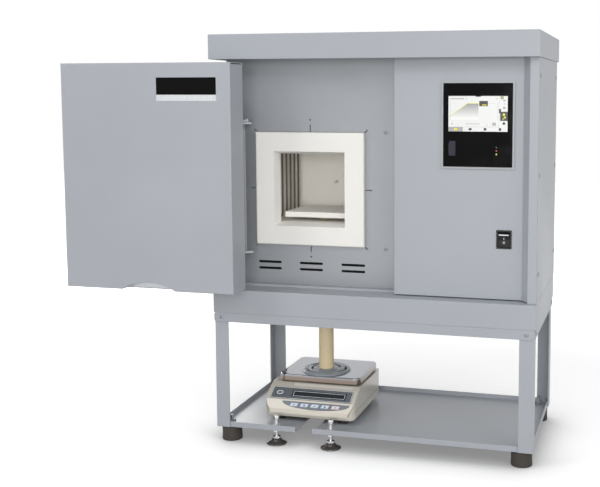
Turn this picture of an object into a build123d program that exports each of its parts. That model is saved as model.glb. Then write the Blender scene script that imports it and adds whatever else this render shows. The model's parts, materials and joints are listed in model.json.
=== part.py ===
from build123d import *
from math import atan2, cos, degrees, hypot, pi, radians, sin
import os

# High-temperature weighing furnace on a low stand, with its door swung open.
# Millimetres, +X to the right, +Y to the rear, +Z up. The origin lies on the
# floor, in the middle of the stand. "Recess" is a distance behind the front
# edge of the top cover.

os.makedirs("parts", exist_ok=True)

# Sheets and clearances
sheet = 1.5
heavy_sheet = 2.5
bend = 2.0
seat = 0.3
running = 0.4
pin_fit = 0.05
play = 2.0

# Stand
stand_width = 650.0
stand_depth = 330.0
stand_height = 270.0
leg_flange = 28.0
rail_height = 19.0
rail_flange = 22.0
rail_chamfer = 3.0
foot_diameter = 42.0
foot_height = 31.0
foot_inset = 25.0
foot_chamfer = 4.0
bevel_angle = 45.0
foot_sides = 24
shelf_sheet = 2.0
shelf_lip = 11.0
shelf_corner = 6.0
slot_width = 36.0
slot_length = 170.0
slot_x = -137.0

# Levelling feet under the front of the shelf
leveller_spread = 116.0
leveller_x = -142.0
leveller_recess = 20.0
leveller_stud_diameter = 8.0
leveller_pad_diameter = 42.0
leveller_pad_height = 11.0
leveller_rim = 2.5
leveller_neck_diameter = 17.0
leveller_socket_depth = 6.0
leveller_sides = 24
leveller_top = 59.0
leveller_flats = 11.0
leveller_flats_height = 8.0
nut_width = 13.0
nut_height = 6.5

# Cabinet
cover_width = 655.0
cover_depth = 370.0
cover_height = 49.0
overall_height = 828.0
cabinet_depth = 350.0
plinth_width = 652.0
plinth_depth = 336.0
plinth_top = 317.5
sill_recess = 54.0
sill_height = 4.5
plate_recess = 72.0
plate_left = -320.5
plate_right = 39.5
panel_recess = 33.0
panel_left = 43.6
panel_right = 294.7
post_recess = 14.5
post_width = 17.5
right_face = 325.5
cabinet_gap = 1.0
tab_width = 16.0

# Hot part: collar, chamber and insulation
chamber_x = -140.5
chamber_share = 0.394711
collar_size = 230.0
collar_proud = 10.0
collar_depth = 24.0
collar_round = 3.0
mouth_width = 150.0
mouth_height = 152.0
mouth_taper = 5.5
chamber_width = 178.0
chamber_depth = 160.0
chamber_height = 152.0
wall_side = 81.0
wall_rear = 70.0
wall_roof = 84.0
tube_hole_diameter = 42.0
slit_width = 2.0
slit_length = 14.0
vent_length = 50.0
vent_height = 5.0
vent_pitch = 89.5
vent_rise = 31.0
vent_row_pitch = 13.0
vent_corner = 1.6

# Heating elements
element_wire = 4.0
element_terminal = 7.0
element_sides = 8
element_bend_steps = 6
element_pitch = 24.0
element_offset = 78.0
element_first = 8.0
element_bottom = 8.0
element_count = 3
element_rise = 62.0
holder_margin = 3.0
holder_rim = 5.0
holder_height = 10.0
strap_thickness = 2.0
strap_margin = 2.0

# Door and its parallel-swing linkage
door_width = 361.6
door_top_gap = 8.0
door_depth = 60.0
door_recess = 10.0
door_gap = 2.0
grip_width = 116.0
grip_height = 16.0
inner_panel_depth = 22.0
plug_step = 51.0
plug_reach = 20.0
plug_inset = 2.0
plug_clearance = 3.0
arm_length = 157.7
arm_open_angle = 146.5
hinge_recess = 52.0
hinge_clearance = 21.5
arm_width = 26.0
arm_thickness = 6.0
ear_thickness = 4.0
barrel_diameter = 22.0
hinge_pin_diameter = 10.0
web_length = 30.0
guide_offset = 26.0
guide_angle = 16.75
guide_width = 12.0
guide_pin_diameter = 6.0
guide_slack = 1.0

# Controller, switch and inner electrical parts
bezel_width = 140.0
bezel_height = 166.0
bezel_x = 208.2
bezel_drop = 126.8
bezel_proud = 3.0
glass_border = 4.0
glass_proud = 1.0
case_depth = 60.0
case_margin = 7.0
cut_margin = 6.0
screen_width = 113.0
screen_height = 67.0
screen_x = 208.5
screen_rise = 21.5
usb_width = 14.0
usb_height = 29.0
usb_x = 159.4
usb_edge = 0.8
usb_drop = 44.2
switch_width = 29.2
switch_height = 35.6
switch_x = 260.1
switch_z = 435.5
switch_frame = 2.2
switch_depth = 30.0
switch_edge = 0.8
switch_pocket = 14.0
rocker_axle = 2.8
rocker_angle = 12.0
transformer_size = (110.0, 95.0, 120.0)
power_unit_size = (90.0, 60.0, 110.0)

# Balance
balance_x = -146.0
balance_width = 194.0
balance_front = 57.0
balance_rear = 276.0
balance_corner = 20.0
balance_foot_height = 11.0
balance_foot_diameter = 22.0
balance_wall = 2.5
balance_base_height = 6.0
opening_margin = 12.0
stem_diameter = 20.0
load_cell_size = (40.0, 130.0, 22.0)
load_cell_web = 4.0
panel_thickness = 1.0
panel_height = 33.0
panel_side = 9.0
balance_height = 57.0
balance_profile = (
    (4.0, 0.0),
    (0.0, 7.0),
    (1.5, 16.0),
    (11.0, 33.0),
    (43.0, 51.0),
    (59.0, 57.0),
    (205.0, 57.0),
    (215.0, 48.0),
    (219.0, 22.0),
    (215.0, 0.0),
)
pan_width = 178.0
pan_depth = 146.0
pan_recess = 185.5
pan_gap = 3.0
pan_height = 14.0
pan_sheet = 2.0
pan_corner = 14.0
pan_travel = 0.5
disc_diameter = 104.0
disc_height = 6.0
disc_slot_radii = (30.0, 42.0)
disc_slot_width = 5.0
disc_slot_count = 3
disc_slot_sweep = 75.0
disc_slot_turn = 20.0
disc_chords = 5
tube_diameter = 31.8
tube_bore = 24.0
tube_seat_depth = 3.0
sample_width = 132.0
sample_thickness = 11.0
sample_edge = 1.0
sample_drop = 51.0
display_width = 118.0
display_height = 18.0
display_shift = 16.0
key_width = 17.0
key_height = 8.0
key_pitch = 22.5
key_shift = 13.0
key_proud = 1.2
key_travel = 0.8
key_count = 5
key_edge = 0.4
key_skew = 3.0
key_lift = 1.0

# Places that follow from the sizes
front_y = -stand_depth / 2 - 1
cover_bottom = overall_height - cover_height
rail_sheet = sheet
leg_x = stand_width / 2 - rail_sheet
leg_y = stand_depth / 2 - rail_sheet
shelf_x = leg_x - heavy_sheet
shelf_y = leg_y - heavy_sheet
shelf_top = foot_height + shelf_sheet
foot_x = stand_width / 2 - foot_inset
foot_y = stand_depth / 2 - foot_inset
plate_y = front_y + plate_recess
panel_y = front_y + panel_recess
post_y = front_y + post_recess
rear_y = front_y + cabinet_depth
sill_top = plinth_top + sill_height
panel_top = overall_height - sheet
chamber_z = plinth_top + chamber_share * (overall_height - plinth_top)
plug_size = collar_size - 2 * plug_inset
hinge_span = plug_size + 2 * hinge_clearance
bezel_z = cover_bottom - bezel_drop
screen_z = bezel_z + screen_rise
usb_z = bezel_z - usb_drop
sample_top = chamber_z - sample_drop
base_z = shelf_top + balance_foot_height
top_z = base_z + balance_height
pan_top = top_z + pan_gap + pan_height
collar_y = plate_y - collar_proud
chamber_front = collar_y + collar_depth
chamber_back = chamber_front + chamber_depth
chamber_floor = chamber_z - mouth_height / 2 + mouth_taper
chamber_roof = chamber_floor + chamber_height
roof_top = chamber_roof + wall_roof
block_left = chamber_x - chamber_width / 2 - wall_side
block_right = chamber_x + chamber_width / 2 + wall_side
block_back = chamber_back + wall_rear
tube_y = (chamber_front + chamber_back) / 2

stand_corners = [(x, y) for x in (-foot_x, foot_x) for y in (-foot_y, foot_y)]


def block(x, y, z, mode=Mode.ADD):
    """A box between two values on each axis, in the part that is being built."""
    centre = tuple((low + high) / 2 for low, high in (x, y, z))
    with Locations(centre):
        Box(x[1] - x[0], y[1] - y[0], z[1] - z[0], mode=mode)


def upright(radius, x, y, z, mode=Mode.ADD):
    """A vertical cylinder between two heights."""
    with Locations((x, y, (z[0] + z[1]) / 2)):
        Cylinder(radius, z[1] - z[0], mode=mode)


def forward(radius, x, y, z, mode=Mode.ADD):
    """A cylinder along Y between two values of y."""
    with Locations((x, (y[0] + y[1]) / 2, z)):
        Cylinder(radius, y[1] - y[0], rotation=(90, 0, 0), mode=mode)


def sideways(radius, x, y, z, mode=Mode.ADD):
    """A cylinder along X between two values of x."""
    with Locations(((x[0] + x[1]) / 2, y, z)):
        Cylinder(radius, x[1] - x[0], rotation=(0, 90, 0), mode=mode)


def folded(*points):
    """The plan of a bent sheet, its outer side through the given points."""
    with BuildSketch(mode=Mode.PRIVATE) as plan:
        with BuildLine():
            FilletPolyline(*points, radius=bend)
            offset(amount=sheet, side=Side.RIGHT)
        make_face()
    return plan.sketch


# Stand: folded angle legs at the four corners
with BuildPart() as stand_legs:
    with BuildSketch(Plane.XY.offset(foot_height)):
        with BuildLine():
            Polyline(
                (leg_x, leg_y),
                (leg_x - leg_flange, leg_y),
                (leg_x - leg_flange, leg_y - heavy_sheet),
                (leg_x - heavy_sheet, leg_y - heavy_sheet),
                (leg_x - heavy_sheet, leg_y - leg_flange),
                (leg_x, leg_y - leg_flange),
                close=True,
            )
        make_face()
        mirror(about=Plane.YZ)
        mirror(about=Plane.XZ)
    extrude(amount=stand_height - foot_height)
stand_legs.part.label = "stand_legs"


# Stand: four angle rails outside the legs, with clipped ends, under the plinth
with BuildPart() as stand_rails:
    with BuildSketch(Plane.XZ.offset(leg_y)) as front_outline:
        with Locations((0, stand_height - rail_height / 2)):
            Rectangle(stand_width, rail_height)
        chamfer(front_outline.vertices(), rail_chamfer)
    extrude(amount=rail_sheet)
    block(
        (-leg_x + leg_flange + seat, leg_x - leg_flange - seat),
        (-leg_y, -leg_y + rail_flange),
        (stand_height - rail_sheet, stand_height),
    )
    mirror(about=Plane.XZ)
    block(
        (leg_x, leg_x + rail_sheet),
        (-leg_y + rail_sheet, leg_y - rail_sheet),
        (stand_height - rail_height, stand_height),
    )
    block(
        (-leg_x - rail_sheet, -leg_x),
        (-leg_y + rail_sheet, leg_y - rail_sheet),
        (stand_height - rail_height, stand_height),
    )
stand_rails.part.label = "stand_rails"


# Stand: shelf tray with upstanding lips and a slot from the front edge
slot_end = -shelf_y + slot_length
leveller_y = front_y + leveller_recess
leveller_centres = [leveller_x - leveller_spread / 2, leveller_x + leveller_spread / 2]
with BuildPart() as shelf_tray:
    with BuildSketch(Plane.XY.offset(foot_height)):
        RectangleRounded(2 * shelf_x, 2 * shelf_y, shelf_corner)
    extrude(amount=shelf_lip)
    with BuildSketch(Plane.XY.offset(shelf_top)):
        inner_corner = shelf_corner - shelf_sheet
        RectangleRounded(2 * (shelf_x - shelf_sheet), 2 * (shelf_y - shelf_sheet), inner_corner)
    extrude(amount=shelf_lip, mode=Mode.SUBTRACT)
    with BuildSketch(Plane.XY.offset(foot_height)):
        with Locations((slot_x, -shelf_y + slot_length / 2)):
            Rectangle(slot_width, slot_length)
        with Locations((slot_x, slot_end)):
            Circle(slot_width / 2)
    extrude(amount=shelf_lip, mode=Mode.SUBTRACT)
    with BuildSketch(Plane.XY.offset(shelf_top)):
        with Locations(*[(x, leveller_y) for x in leveller_centres]):
            RegularPolygon(
                leveller_stud_diameter / 2 + running, leveller_sides, major_radius=False
            )
    extrude(amount=-shelf_sheet, mode=Mode.SUBTRACT)
shelf_tray.part.label = "shelf_tray"


# Rubber feet: discs with a bevelled lower rim
with BuildPart() as rubber_feet:
    for x, y in stand_corners:
        with BuildSketch(Plane.XY.offset(foot_chamfer)):
            with Locations((x, y)):
                RegularPolygon(foot_diameter / 2, foot_sides)
        extrude(amount=foot_height - foot_chamfer)
        with BuildSketch(Plane.XY.offset(foot_chamfer)):
            with Locations((x, y)):
                RegularPolygon(foot_diameter / 2, foot_sides)
        extrude(amount=-foot_chamfer, taper=bevel_angle)
rubber_feet.part.label = "rubber_feet"


# Levelling feet: nuts above and below the shelf
lower_nut_bottom = foot_height - nut_height
with BuildPart() as leveller_nuts:
    for x in leveller_centres:
        with BuildSketch(Plane.XY.offset(shelf_top)):
            with Locations((x, leveller_y)):
                RegularPolygon(nut_width / 2, 6, major_radius=False)
                RegularPolygon(
                    leveller_stud_diameter / 2 + running,
                    leveller_sides,
                    major_radius=False,
                    mode=Mode.SUBTRACT,
                )
        extrude(amount=nut_height)
        with BuildSketch(Plane.XY.offset(lower_nut_bottom)):
            with Locations((x, leveller_y)):
                RegularPolygon(nut_width / 2, 6, major_radius=False)
                RegularPolygon(
                    leveller_stud_diameter / 2 + running,
                    leveller_sides,
                    major_radius=False,
                    mode=Mode.SUBTRACT,
                )
        extrude(amount=nut_height)
leveller_nuts.part.label = "leveller_nuts"


# Levelling feet: conical pads and the studs that turn in them
leveller_pads = []
leveller_studs = []
socket_floor = leveller_pad_height - leveller_socket_depth
flats_bottom = leveller_top - leveller_flats_height
pad_narrowing = (leveller_pad_diameter - leveller_neck_diameter) / 2
pad_slope = degrees(atan2(pad_narrowing, leveller_pad_height - leveller_rim))
for side, x in zip(("left", "right"), leveller_centres):
    with BuildPart() as leveller_pad:
        with BuildSketch(Plane.XY):
            with Locations((x, leveller_y)):
                RegularPolygon(leveller_pad_diameter / 2, leveller_sides)
        extrude(amount=leveller_rim)
        with BuildSketch(Plane.XY.offset(leveller_rim)):
            with Locations((x, leveller_y)):
                RegularPolygon(leveller_pad_diameter / 2, leveller_sides)
        extrude(amount=leveller_pad_height - leveller_rim, taper=pad_slope)
        with BuildSketch(Plane.XY.offset(leveller_pad_height)):
            with Locations((x, leveller_y)):
                RegularPolygon(
                    leveller_stud_diameter / 2 + running, leveller_sides, major_radius=False
                )
        extrude(amount=-leveller_socket_depth, mode=Mode.SUBTRACT)
    leveller_pad.part.label = f"leveller_pad_{side}"
    leveller_pads.append(leveller_pad)
    with BuildPart() as leveller_stud:
        upright(leveller_stud_diameter / 2, x, leveller_y, (socket_floor + seat, flats_bottom))
        with BuildSketch(Plane.XY.offset(flats_bottom)):
            with Locations((x, leveller_y)):
                RegularPolygon(leveller_flats / 2, 6, major_radius=False)
        extrude(amount=leveller_flats_height)
    leveller_stud.part.label = f"leveller_stud_{side}"
    leveller_studs.append(leveller_stud)


# Plinth: a folded tray, open below, with the opening for the ceramic tube
plinth_front = front_y + 0.5
plinth_rear = front_y + plinth_depth
plinth_height = plinth_top - stand_height
plinth_y = (plinth_front + plinth_rear) / 2
with BuildPart() as plinth:
    with BuildSketch(Plane.XY.offset(stand_height)):
        with Locations((0, plinth_y)):
            Rectangle(plinth_width, plinth_rear - plinth_front)
    extrude(amount=plinth_height)
    top_edges = plinth.edges().group_by(Axis.Z)[-1]
    fillet(top_edges.filter_by(Axis.Y) + top_edges.sort_by(Axis.Y)[:1], bend)
    with BuildSketch(Plane.XY.offset(stand_height)):
        with Locations((0, plinth_y)):
            Rectangle(plinth_width - 2 * sheet, plinth_rear - plinth_front - 2 * sheet)
    extrude(amount=plinth_height - sheet, mode=Mode.SUBTRACT)
    with Locations((chamber_x, tube_y, plinth_top)):
        Hole(tube_hole_diameter / 2, depth=plinth_height)
plinth.part.label = "plinth"


# Base panel: carries the hot part and forms the raised sill under the front plate
with BuildPart() as base_panel:
    with BuildSketch(Plane.XY.offset(plinth_top)):
        with BuildLine():
            Polyline(
                (plate_left, front_y + sill_recess),
                (plate_right, front_y + sill_recess),
                (plate_right, plate_y + sheet + cabinet_gap),
                (right_face - sheet - cabinet_gap, plate_y + sheet + cabinet_gap),
                (right_face - sheet - cabinet_gap, rear_y - sheet - cabinet_gap),
                (plate_left + sheet + cabinet_gap, rear_y - sheet - cabinet_gap),
                (plate_left + sheet + cabinet_gap, plate_y + sheet + cabinet_gap),
                (plate_left, plate_y),
                close=True,
            )
        make_face()
    extrude(amount=sill_height)
    with Locations((chamber_x, tube_y, sill_top)):
        Hole(tube_hole_diameter / 2, depth=sill_height)
base_panel.part.label = "base_panel"


# Front plate round the collar: vent slots below, expansion slits round the hole
plate_mid = (plate_left + plate_right) / 2
plate_height = panel_top - sill_top
hole_half = collar_size / 2 + seat
vent_places = [
    (chamber_x + vent_pitch * i, sill_top + vent_rise + vent_row_pitch * row)
    for i in (-1, 0, 1)
    for row in (0, 1)
]
with BuildPart() as front_plate:
    with BuildSketch(Plane.XZ.offset(-plate_y - sheet)):
        with Locations((plate_mid, sill_top + plate_height / 2)):
            Rectangle(plate_right - plate_left, plate_height)
        with Locations((chamber_x, chamber_z)):
            Rectangle(2 * hole_half, 2 * hole_half, mode=Mode.SUBTRACT)
        with Locations((chamber_x, chamber_z)):
            Rectangle(2 * (hole_half + slit_length), slit_width, mode=Mode.SUBTRACT)
            Rectangle(slit_width, 2 * (hole_half + slit_length), mode=Mode.SUBTRACT)
        diagonal = 2 * (hypot(hole_half, hole_half) + slit_length / 2)
        with Locations(Location((chamber_x, chamber_z), 45), Location((chamber_x, chamber_z), -45)):
            Rectangle(diagonal, slit_width, mode=Mode.SUBTRACT)
        for x, z in vent_places:
            with BuildSketch(mode=Mode.PRIVATE) as vent:
                Rectangle(vent_length, vent_height)
                chamfer(vent.vertices(), vent_corner)
            with Locations((x, z)):
                add(vent.sketch, mode=Mode.SUBTRACT)
    extrude(amount=sheet)
front_plate.part.label = "front_plate"


# Left side panel, with a tab folded behind the front plate
side_height = panel_top - plinth_top
with BuildPart() as left_side_panel:
    with BuildSketch(Plane.XY.offset(plinth_top)):
        add(
            folded(
                (plate_left + tab_width, plate_y + sheet),
                (plate_left, plate_y + sheet),
                (plate_left, rear_y),
            )
        )
    extrude(amount=side_height)
    block(
        (plate_left + sheet, plate_left + tab_width + play),
        (plate_y, rear_y - cabinet_depth / 2),
        (plinth_top, sill_top + seat),
        mode=Mode.SUBTRACT,
    )
left_side_panel.part.label = "left_side_panel"


# Right side panel, folded round into the front post
with BuildPart() as right_side_panel:
    with BuildSketch(Plane.XY.offset(plinth_top)):
        add(
            folded(
                (right_face, rear_y),
                (right_face, post_y),
                (right_face - post_width, post_y),
            )
        )
    extrude(amount=side_height)
right_side_panel.part.label = "right_side_panel"


# Control panel: left return, face with its two cut-outs, slanted strip to the post
panel_bottom = plinth_top + play
slant_end = right_face - post_width - seat
with BuildPart() as control_panel:
    with BuildSketch(Plane.XY.offset(panel_bottom)):
        add(
            folded(
                (slant_end, post_y + sheet),
                (panel_right, panel_y),
                (panel_left, panel_y),
                (panel_left, plate_y + sheet),
            )
        )
    extrude(amount=panel_top - panel_bottom)
    block(
        (bezel_x - bezel_width / 2 + cut_margin, bezel_x + bezel_width / 2 - cut_margin),
        (panel_y - play, panel_y + sheet + play),
        (bezel_z - bezel_height / 2 + cut_margin, bezel_z + bezel_height / 2 - cut_margin),
        mode=Mode.SUBTRACT,
    )
    block(
        (switch_x - switch_width / 2 + play, switch_x + switch_width / 2 - play),
        (panel_y - play, panel_y + sheet + play),
        (switch_z - switch_height / 2 + play, switch_z + switch_height / 2 - play),
        mode=Mode.SUBTRACT,
    )
control_panel.part.label = "control_panel"


# Divider between the hot part and the electrical side
divider_x = panel_left + play
with BuildPart() as divider:
    block(
        (divider_x, divider_x + sheet),
        (plate_y + 2 * sheet + cabinet_gap, rear_y - sheet - cabinet_gap),
        (sill_top, panel_top - play),
    )
divider.part.label = "divider"


# Rear panel: louvre rows, a gland hole and a hole for the exhaust outlet
gland_x = 250.0
gland_z = sill_top + 50.0
gland_radius = 10.0
gland_bore = 6.0
gland_flats = 27.0
gland_cap_flats = 23.0
gland_flange = 7.0
gland_reach = 18.0
gland_neck = 12.0
gland_sides = 24
outlet_z = cover_bottom - 44.0
outlet_radius = 17.0
outlet_wall = 3.0
outlet_plate = 52.0
outlet_reach = 16.0
louvre_length = 70.0
louvre_height = 6.0
louvre_pitch = 16.0
louvre_rows = 4
louvre_step = 100.0
louvre_low = sill_top + 30.0
louvre_high = outlet_z - 28.0
louvre_columns = (
    (chamber_x - louvre_step, louvre_low),
    (chamber_x, louvre_low),
    (chamber_x + louvre_step, louvre_low),
    (gland_x - gland_cap_flats - louvre_length / 2, louvre_high),
)
rear_left = plate_left + sheet + seat
rear_right = right_face - sheet - seat
rear_mid = (rear_left + rear_right) / 2
with BuildPart() as rear_panel:
    with BuildSketch(Plane.XZ.offset(-rear_y)):
        with Locations((rear_mid, (sill_top + panel_top) / 2)):
            Rectangle(rear_right - rear_left, panel_top - sill_top)
        with Locations((gland_x, gland_z)):
            Circle(gland_radius + running, mode=Mode.SUBTRACT)
        with Locations((chamber_x, outlet_z)):
            Circle(outlet_radius - outlet_wall, mode=Mode.SUBTRACT)
        for column, bottom in louvre_columns:
            for row in range(louvre_rows):
                with Locations((column, bottom + louvre_pitch * row)):
                    Rectangle(louvre_length, louvre_height, mode=Mode.SUBTRACT)
    extrude(amount=sheet)
rear_panel.part.label = "rear_panel"


# Gland for the mains lead: hexagon, cap nut and neck through the panel
with BuildPart() as cable_gland:
    with BuildSketch(Plane.XZ.offset(-rear_y)):
        with Locations((gland_x, gland_z)):
            RegularPolygon(gland_flats / 2, 6, major_radius=False)
    extrude(amount=-gland_flange)
    with BuildSketch(Plane.XZ.offset(-rear_y - gland_flange)):
        with Locations((gland_x, gland_z)):
            RegularPolygon(gland_cap_flats / 2, 6, major_radius=False)
    extrude(amount=-(gland_reach - gland_flange))
    with BuildSketch(Plane.XZ.offset(-rear_y)):
        with Locations((gland_x, gland_z)):
            RegularPolygon(gland_radius, gland_sides)
    extrude(amount=gland_neck)
    forward(
        gland_bore, gland_x, (rear_y - gland_neck, rear_y + gland_reach), gland_z, Mode.SUBTRACT
    )
cable_gland.part.label = "cable_gland"


# Exhaust outlet: pipe with a square flange on the rear panel
outlet_span = (rear_y, rear_y + outlet_reach)
with BuildPart() as exhaust_outlet:
    block(
        (chamber_x - outlet_plate / 2, chamber_x + outlet_plate / 2),
        (rear_y, rear_y + outlet_wall),
        (outlet_z - outlet_plate / 2, outlet_z + outlet_plate / 2),
    )
    forward(outlet_radius, chamber_x, outlet_span, outlet_z)
    forward(outlet_radius - outlet_wall, chamber_x, outlet_span, outlet_z, Mode.SUBTRACT)
exhaust_outlet.part.label = "exhaust_outlet"


# Top cover: a shallow folded lid over the whole cabinet
cover_y = front_y + cover_depth / 2
with BuildPart() as top_cover:
    with BuildSketch(Plane.XY.offset(cover_bottom)):
        with Locations((0, cover_y)):
            Rectangle(cover_width, cover_depth)
    extrude(amount=cover_height)
    fillet(top_cover.faces().sort_by(Axis.Z)[-1].edges(), bend)
    with BuildSketch(Plane.XY.offset(cover_bottom)):
        with Locations((0, cover_y)):
            Rectangle(cover_width - 2 * sheet, cover_depth - 2 * sheet)
    extrude(amount=cover_height - sheet, mode=Mode.SUBTRACT)
top_cover.part.label = "top_cover"


# Collar: the white ceramic frame round the mouth of the chamber
collar_edge = collar_size / 2
with BuildPart() as chamber_collar:
    with BuildSketch(Plane.XZ.offset(-collar_y - collar_depth)):
        with Locations((chamber_x, chamber_z)):
            Rectangle(collar_size, collar_size)
    extrude(amount=collar_depth)
    fillet(chamber_collar.faces().sort_by(Axis.Y)[0].edges(), collar_round)
    with BuildSketch(Plane.XZ.offset(-collar_y)):
        with Locations((chamber_x, chamber_z)):
            Rectangle(mouth_width, mouth_height)
    with BuildSketch(Plane.XZ.offset(-chamber_front)):
        with Locations((chamber_x, chamber_z)):
            Rectangle(mouth_width - 2 * mouth_taper, mouth_height - 2 * mouth_taper)
    loft(mode=Mode.SUBTRACT)
chamber_collar.part.label = "chamber_collar"


# Insulation: base with the tube passage, left, right and rear walls, roof
chamber_left = chamber_x - chamber_width / 2
chamber_right = chamber_x + chamber_width / 2
with BuildPart() as insulation_base:
    block((block_left, block_right), (chamber_front, block_back), (sill_top, chamber_floor))
    with Locations((chamber_x, tube_y, chamber_floor)):
        Hole(tube_hole_diameter / 2, depth=chamber_floor - sill_top)
insulation_base.part.label = "insulation_base"

with BuildPart() as insulation_sides:
    block((block_left, chamber_left), (chamber_front, block_back), (chamber_floor, chamber_roof))
    block((chamber_right, block_right), (chamber_front, block_back), (chamber_floor, chamber_roof))
insulation_sides.part.label = "insulation_sides"

probe_radius = 3.0
with BuildPart() as insulation_rear:
    block((chamber_left, chamber_right), (chamber_back, block_back), (chamber_floor, chamber_roof))
    forward(
        probe_radius + running, chamber_x, (chamber_back, block_back), chamber_z, Mode.SUBTRACT
    )
insulation_rear.part.label = "insulation_rear"

# Heating elements hang in three pairs of shanks down each side
first_shank = chamber_front + element_first
element_places = [
    (chamber_x + side * element_offset, first_shank + element_pitch * (2 * i + 0.5))
    for side in (-1, 1)
    for i in range(element_count)
]
holder_x = element_terminal + 2 * holder_margin
holder_y = element_pitch + element_terminal + 2 * seat + play
with BuildPart() as insulation_roof:
    block((block_left, block_right), (chamber_front, block_back), (chamber_roof, roof_top))
    for x, y in element_places:
        block(
            (x - holder_x / 2 - running, x + holder_x / 2 + running),
            (y - holder_y / 2 - running, y + holder_y / 2 + running),
            (chamber_roof, roof_top),
            mode=Mode.SUBTRACT,
        )
insulation_roof.part.label = "insulation_roof"

shank_bottom = chamber_floor + element_bottom + element_pitch / 2
terminal_bottom = chamber_roof + holder_height
terminal_top = roof_top + element_rise
bend_radius = element_pitch / 2
bend_turns = [pi * step / element_bend_steps for step in range(element_bend_steps + 1)]
with BuildPart() as heating_elements:
    for x, y in element_places:
        bottom = [
            (x, y - bend_radius * cos(turn), shank_bottom - bend_radius * sin(turn))
            for turn in bend_turns
        ]
        with BuildLine():
            Polyline(
                (x, y - bend_radius, terminal_bottom),
                *bottom,
                (x, y + bend_radius, terminal_bottom),
            )
        with BuildSketch(Plane.XY.offset(terminal_bottom)):
            with Locations((x, y - bend_radius)):
                RegularPolygon(element_wire / 2, element_sides)
        sweep(transition=Transition.RIGHT)
        with BuildSketch(Plane.XY.offset(terminal_bottom)):
            with Locations((x, y - bend_radius), (x, y + bend_radius)):
                RegularPolygon(element_terminal / 2, element_sides)
        extrude(amount=terminal_top - terminal_bottom)
heating_elements.part.label = "heating_elements"

with BuildPart() as element_holders:
    for x, y in element_places:
        block(
            (x - holder_x / 2, x + holder_x / 2),
            (y - holder_y / 2, y + holder_y / 2),
            (terminal_bottom + play, roof_top),
        )
        block(
            (x - holder_x / 2 - holder_rim, x + holder_x / 2 + holder_rim),
            (y - holder_y / 2 - holder_margin, y + holder_y / 2 + holder_margin),
            (roof_top, roof_top + holder_height),
        )
    with BuildSketch(Plane.XY.offset(terminal_bottom)):
        for x, y in element_places:
            with Locations((x, y - bend_radius), (x, y + bend_radius)):
                RegularPolygon(element_terminal / 2 + running, element_sides)
    extrude(amount=roof_top + holder_height - terminal_bottom, mode=Mode.SUBTRACT)
element_holders.part.label = "element_holders"


# Flat straps on the terminals join the elements in series, and cross at the rear
strap_half = element_terminal / 2 + strap_margin
strap_z = (terminal_top, terminal_top + strap_thickness)
with BuildPart() as element_straps:
    for x, y in element_places:
        if y < element_places[-1][1]:
            start = y + bend_radius - strap_half
            end = start + element_pitch + 2 * strap_half
            block((x - strap_half, x + strap_half), (start, end), strap_z)
    last_shank = element_places[-1][1] + bend_radius
    block(
        (
            chamber_x - element_offset - strap_half,
            chamber_x + element_offset + strap_half,
        ),
        (last_shank - strap_half, last_shank + strap_half),
        strap_z,
    )
element_straps.part.label = "element_straps"


# Thermocouple: ceramic sheath through the rear wall, with its connection head
probe_reach = 12.0
probe_head_radius = 13.0
probe_head_depth = 22.0
probe_sides = 24
with BuildPart() as thermocouple:
    forward(probe_radius, chamber_x, (chamber_back - probe_reach, block_back), chamber_z)
    with BuildSketch(Plane.XZ.offset(-block_back)):
        with Locations((chamber_x, chamber_z)):
            RegularPolygon(probe_head_radius, probe_sides)
    extrude(amount=-probe_head_depth)
thermocouple.part.label = "thermocouple"


# Controller: light frame, dark glass with the display and lamps, case behind
glass_width = bezel_width - 2 * glass_border
glass_height = bezel_height - 2 * glass_border
glass_y = panel_y - bezel_proud - glass_proud
screen_depth = 0.4
with BuildPart() as controller_frame:
    with BuildSketch(Plane.XZ.offset(-panel_y)):
        with Locations((bezel_x, bezel_z)):
            RectangleRounded(bezel_width, bezel_height, play)
            Rectangle(glass_width + 2 * seat, glass_height + 2 * seat, mode=Mode.SUBTRACT)
    extrude(amount=bezel_proud)
controller_frame.part.label = "controller_frame"

with BuildPart() as controller_glass:
    block(
        (bezel_x - glass_width / 2, bezel_x + glass_width / 2),
        (glass_y, panel_y),
        (bezel_z - glass_height / 2, bezel_z + glass_height / 2),
    )
    block(
        (screen_x - screen_width / 2, screen_x + screen_width / 2),
        (glass_y, glass_y + screen_depth),
        (screen_z - screen_height / 2, screen_z + screen_height / 2),
        mode=Mode.SUBTRACT,
    )
    block(
        (usb_x - usb_width / 4, usb_x + usb_width / 4),
        (glass_y, panel_y),
        (usb_z - usb_height / 4, usb_z + usb_height / 4),
        mode=Mode.SUBTRACT,
    )
controller_glass.part.label = "controller_glass"

with BuildPart() as controller_case:
    block(
        (bezel_x - bezel_width / 2 + case_margin, bezel_x + bezel_width / 2 - case_margin),
        (panel_y, panel_y + case_depth),
        (bezel_z - bezel_height / 2 + case_margin, bezel_z + bezel_height / 2 - case_margin),
    )
controller_case.part.label = "controller_case"

# Cover of the USB port: a small flap on a vertical hinge at its left edge
flap_thickness = 2.2
flap_hinge_radius = 1.2
flap_hinge_inset = 4.0
flap_pivot = (usb_x - usb_width / 2 + flap_hinge_radius, glass_y - flap_hinge_radius - seat)
flap_pin = (usb_z - usb_height / 2 + flap_hinge_inset, usb_z + usb_height / 2 - flap_hinge_inset)
with BuildPart() as usb_flap:
    block(
        (usb_x - usb_width / 2 + flap_hinge_radius, usb_x + usb_width / 2),
        (glass_y - seat - flap_thickness, glass_y - seat),
        (usb_z - usb_height / 2, usb_z + usb_height / 2),
    )
    chamfer(usb_flap.faces().sort_by(Axis.Y)[0].edges(), usb_edge)
    upright(flap_hinge_radius, *flap_pivot, flap_pin)
usb_flap.part.label = "usb_flap"


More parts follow.
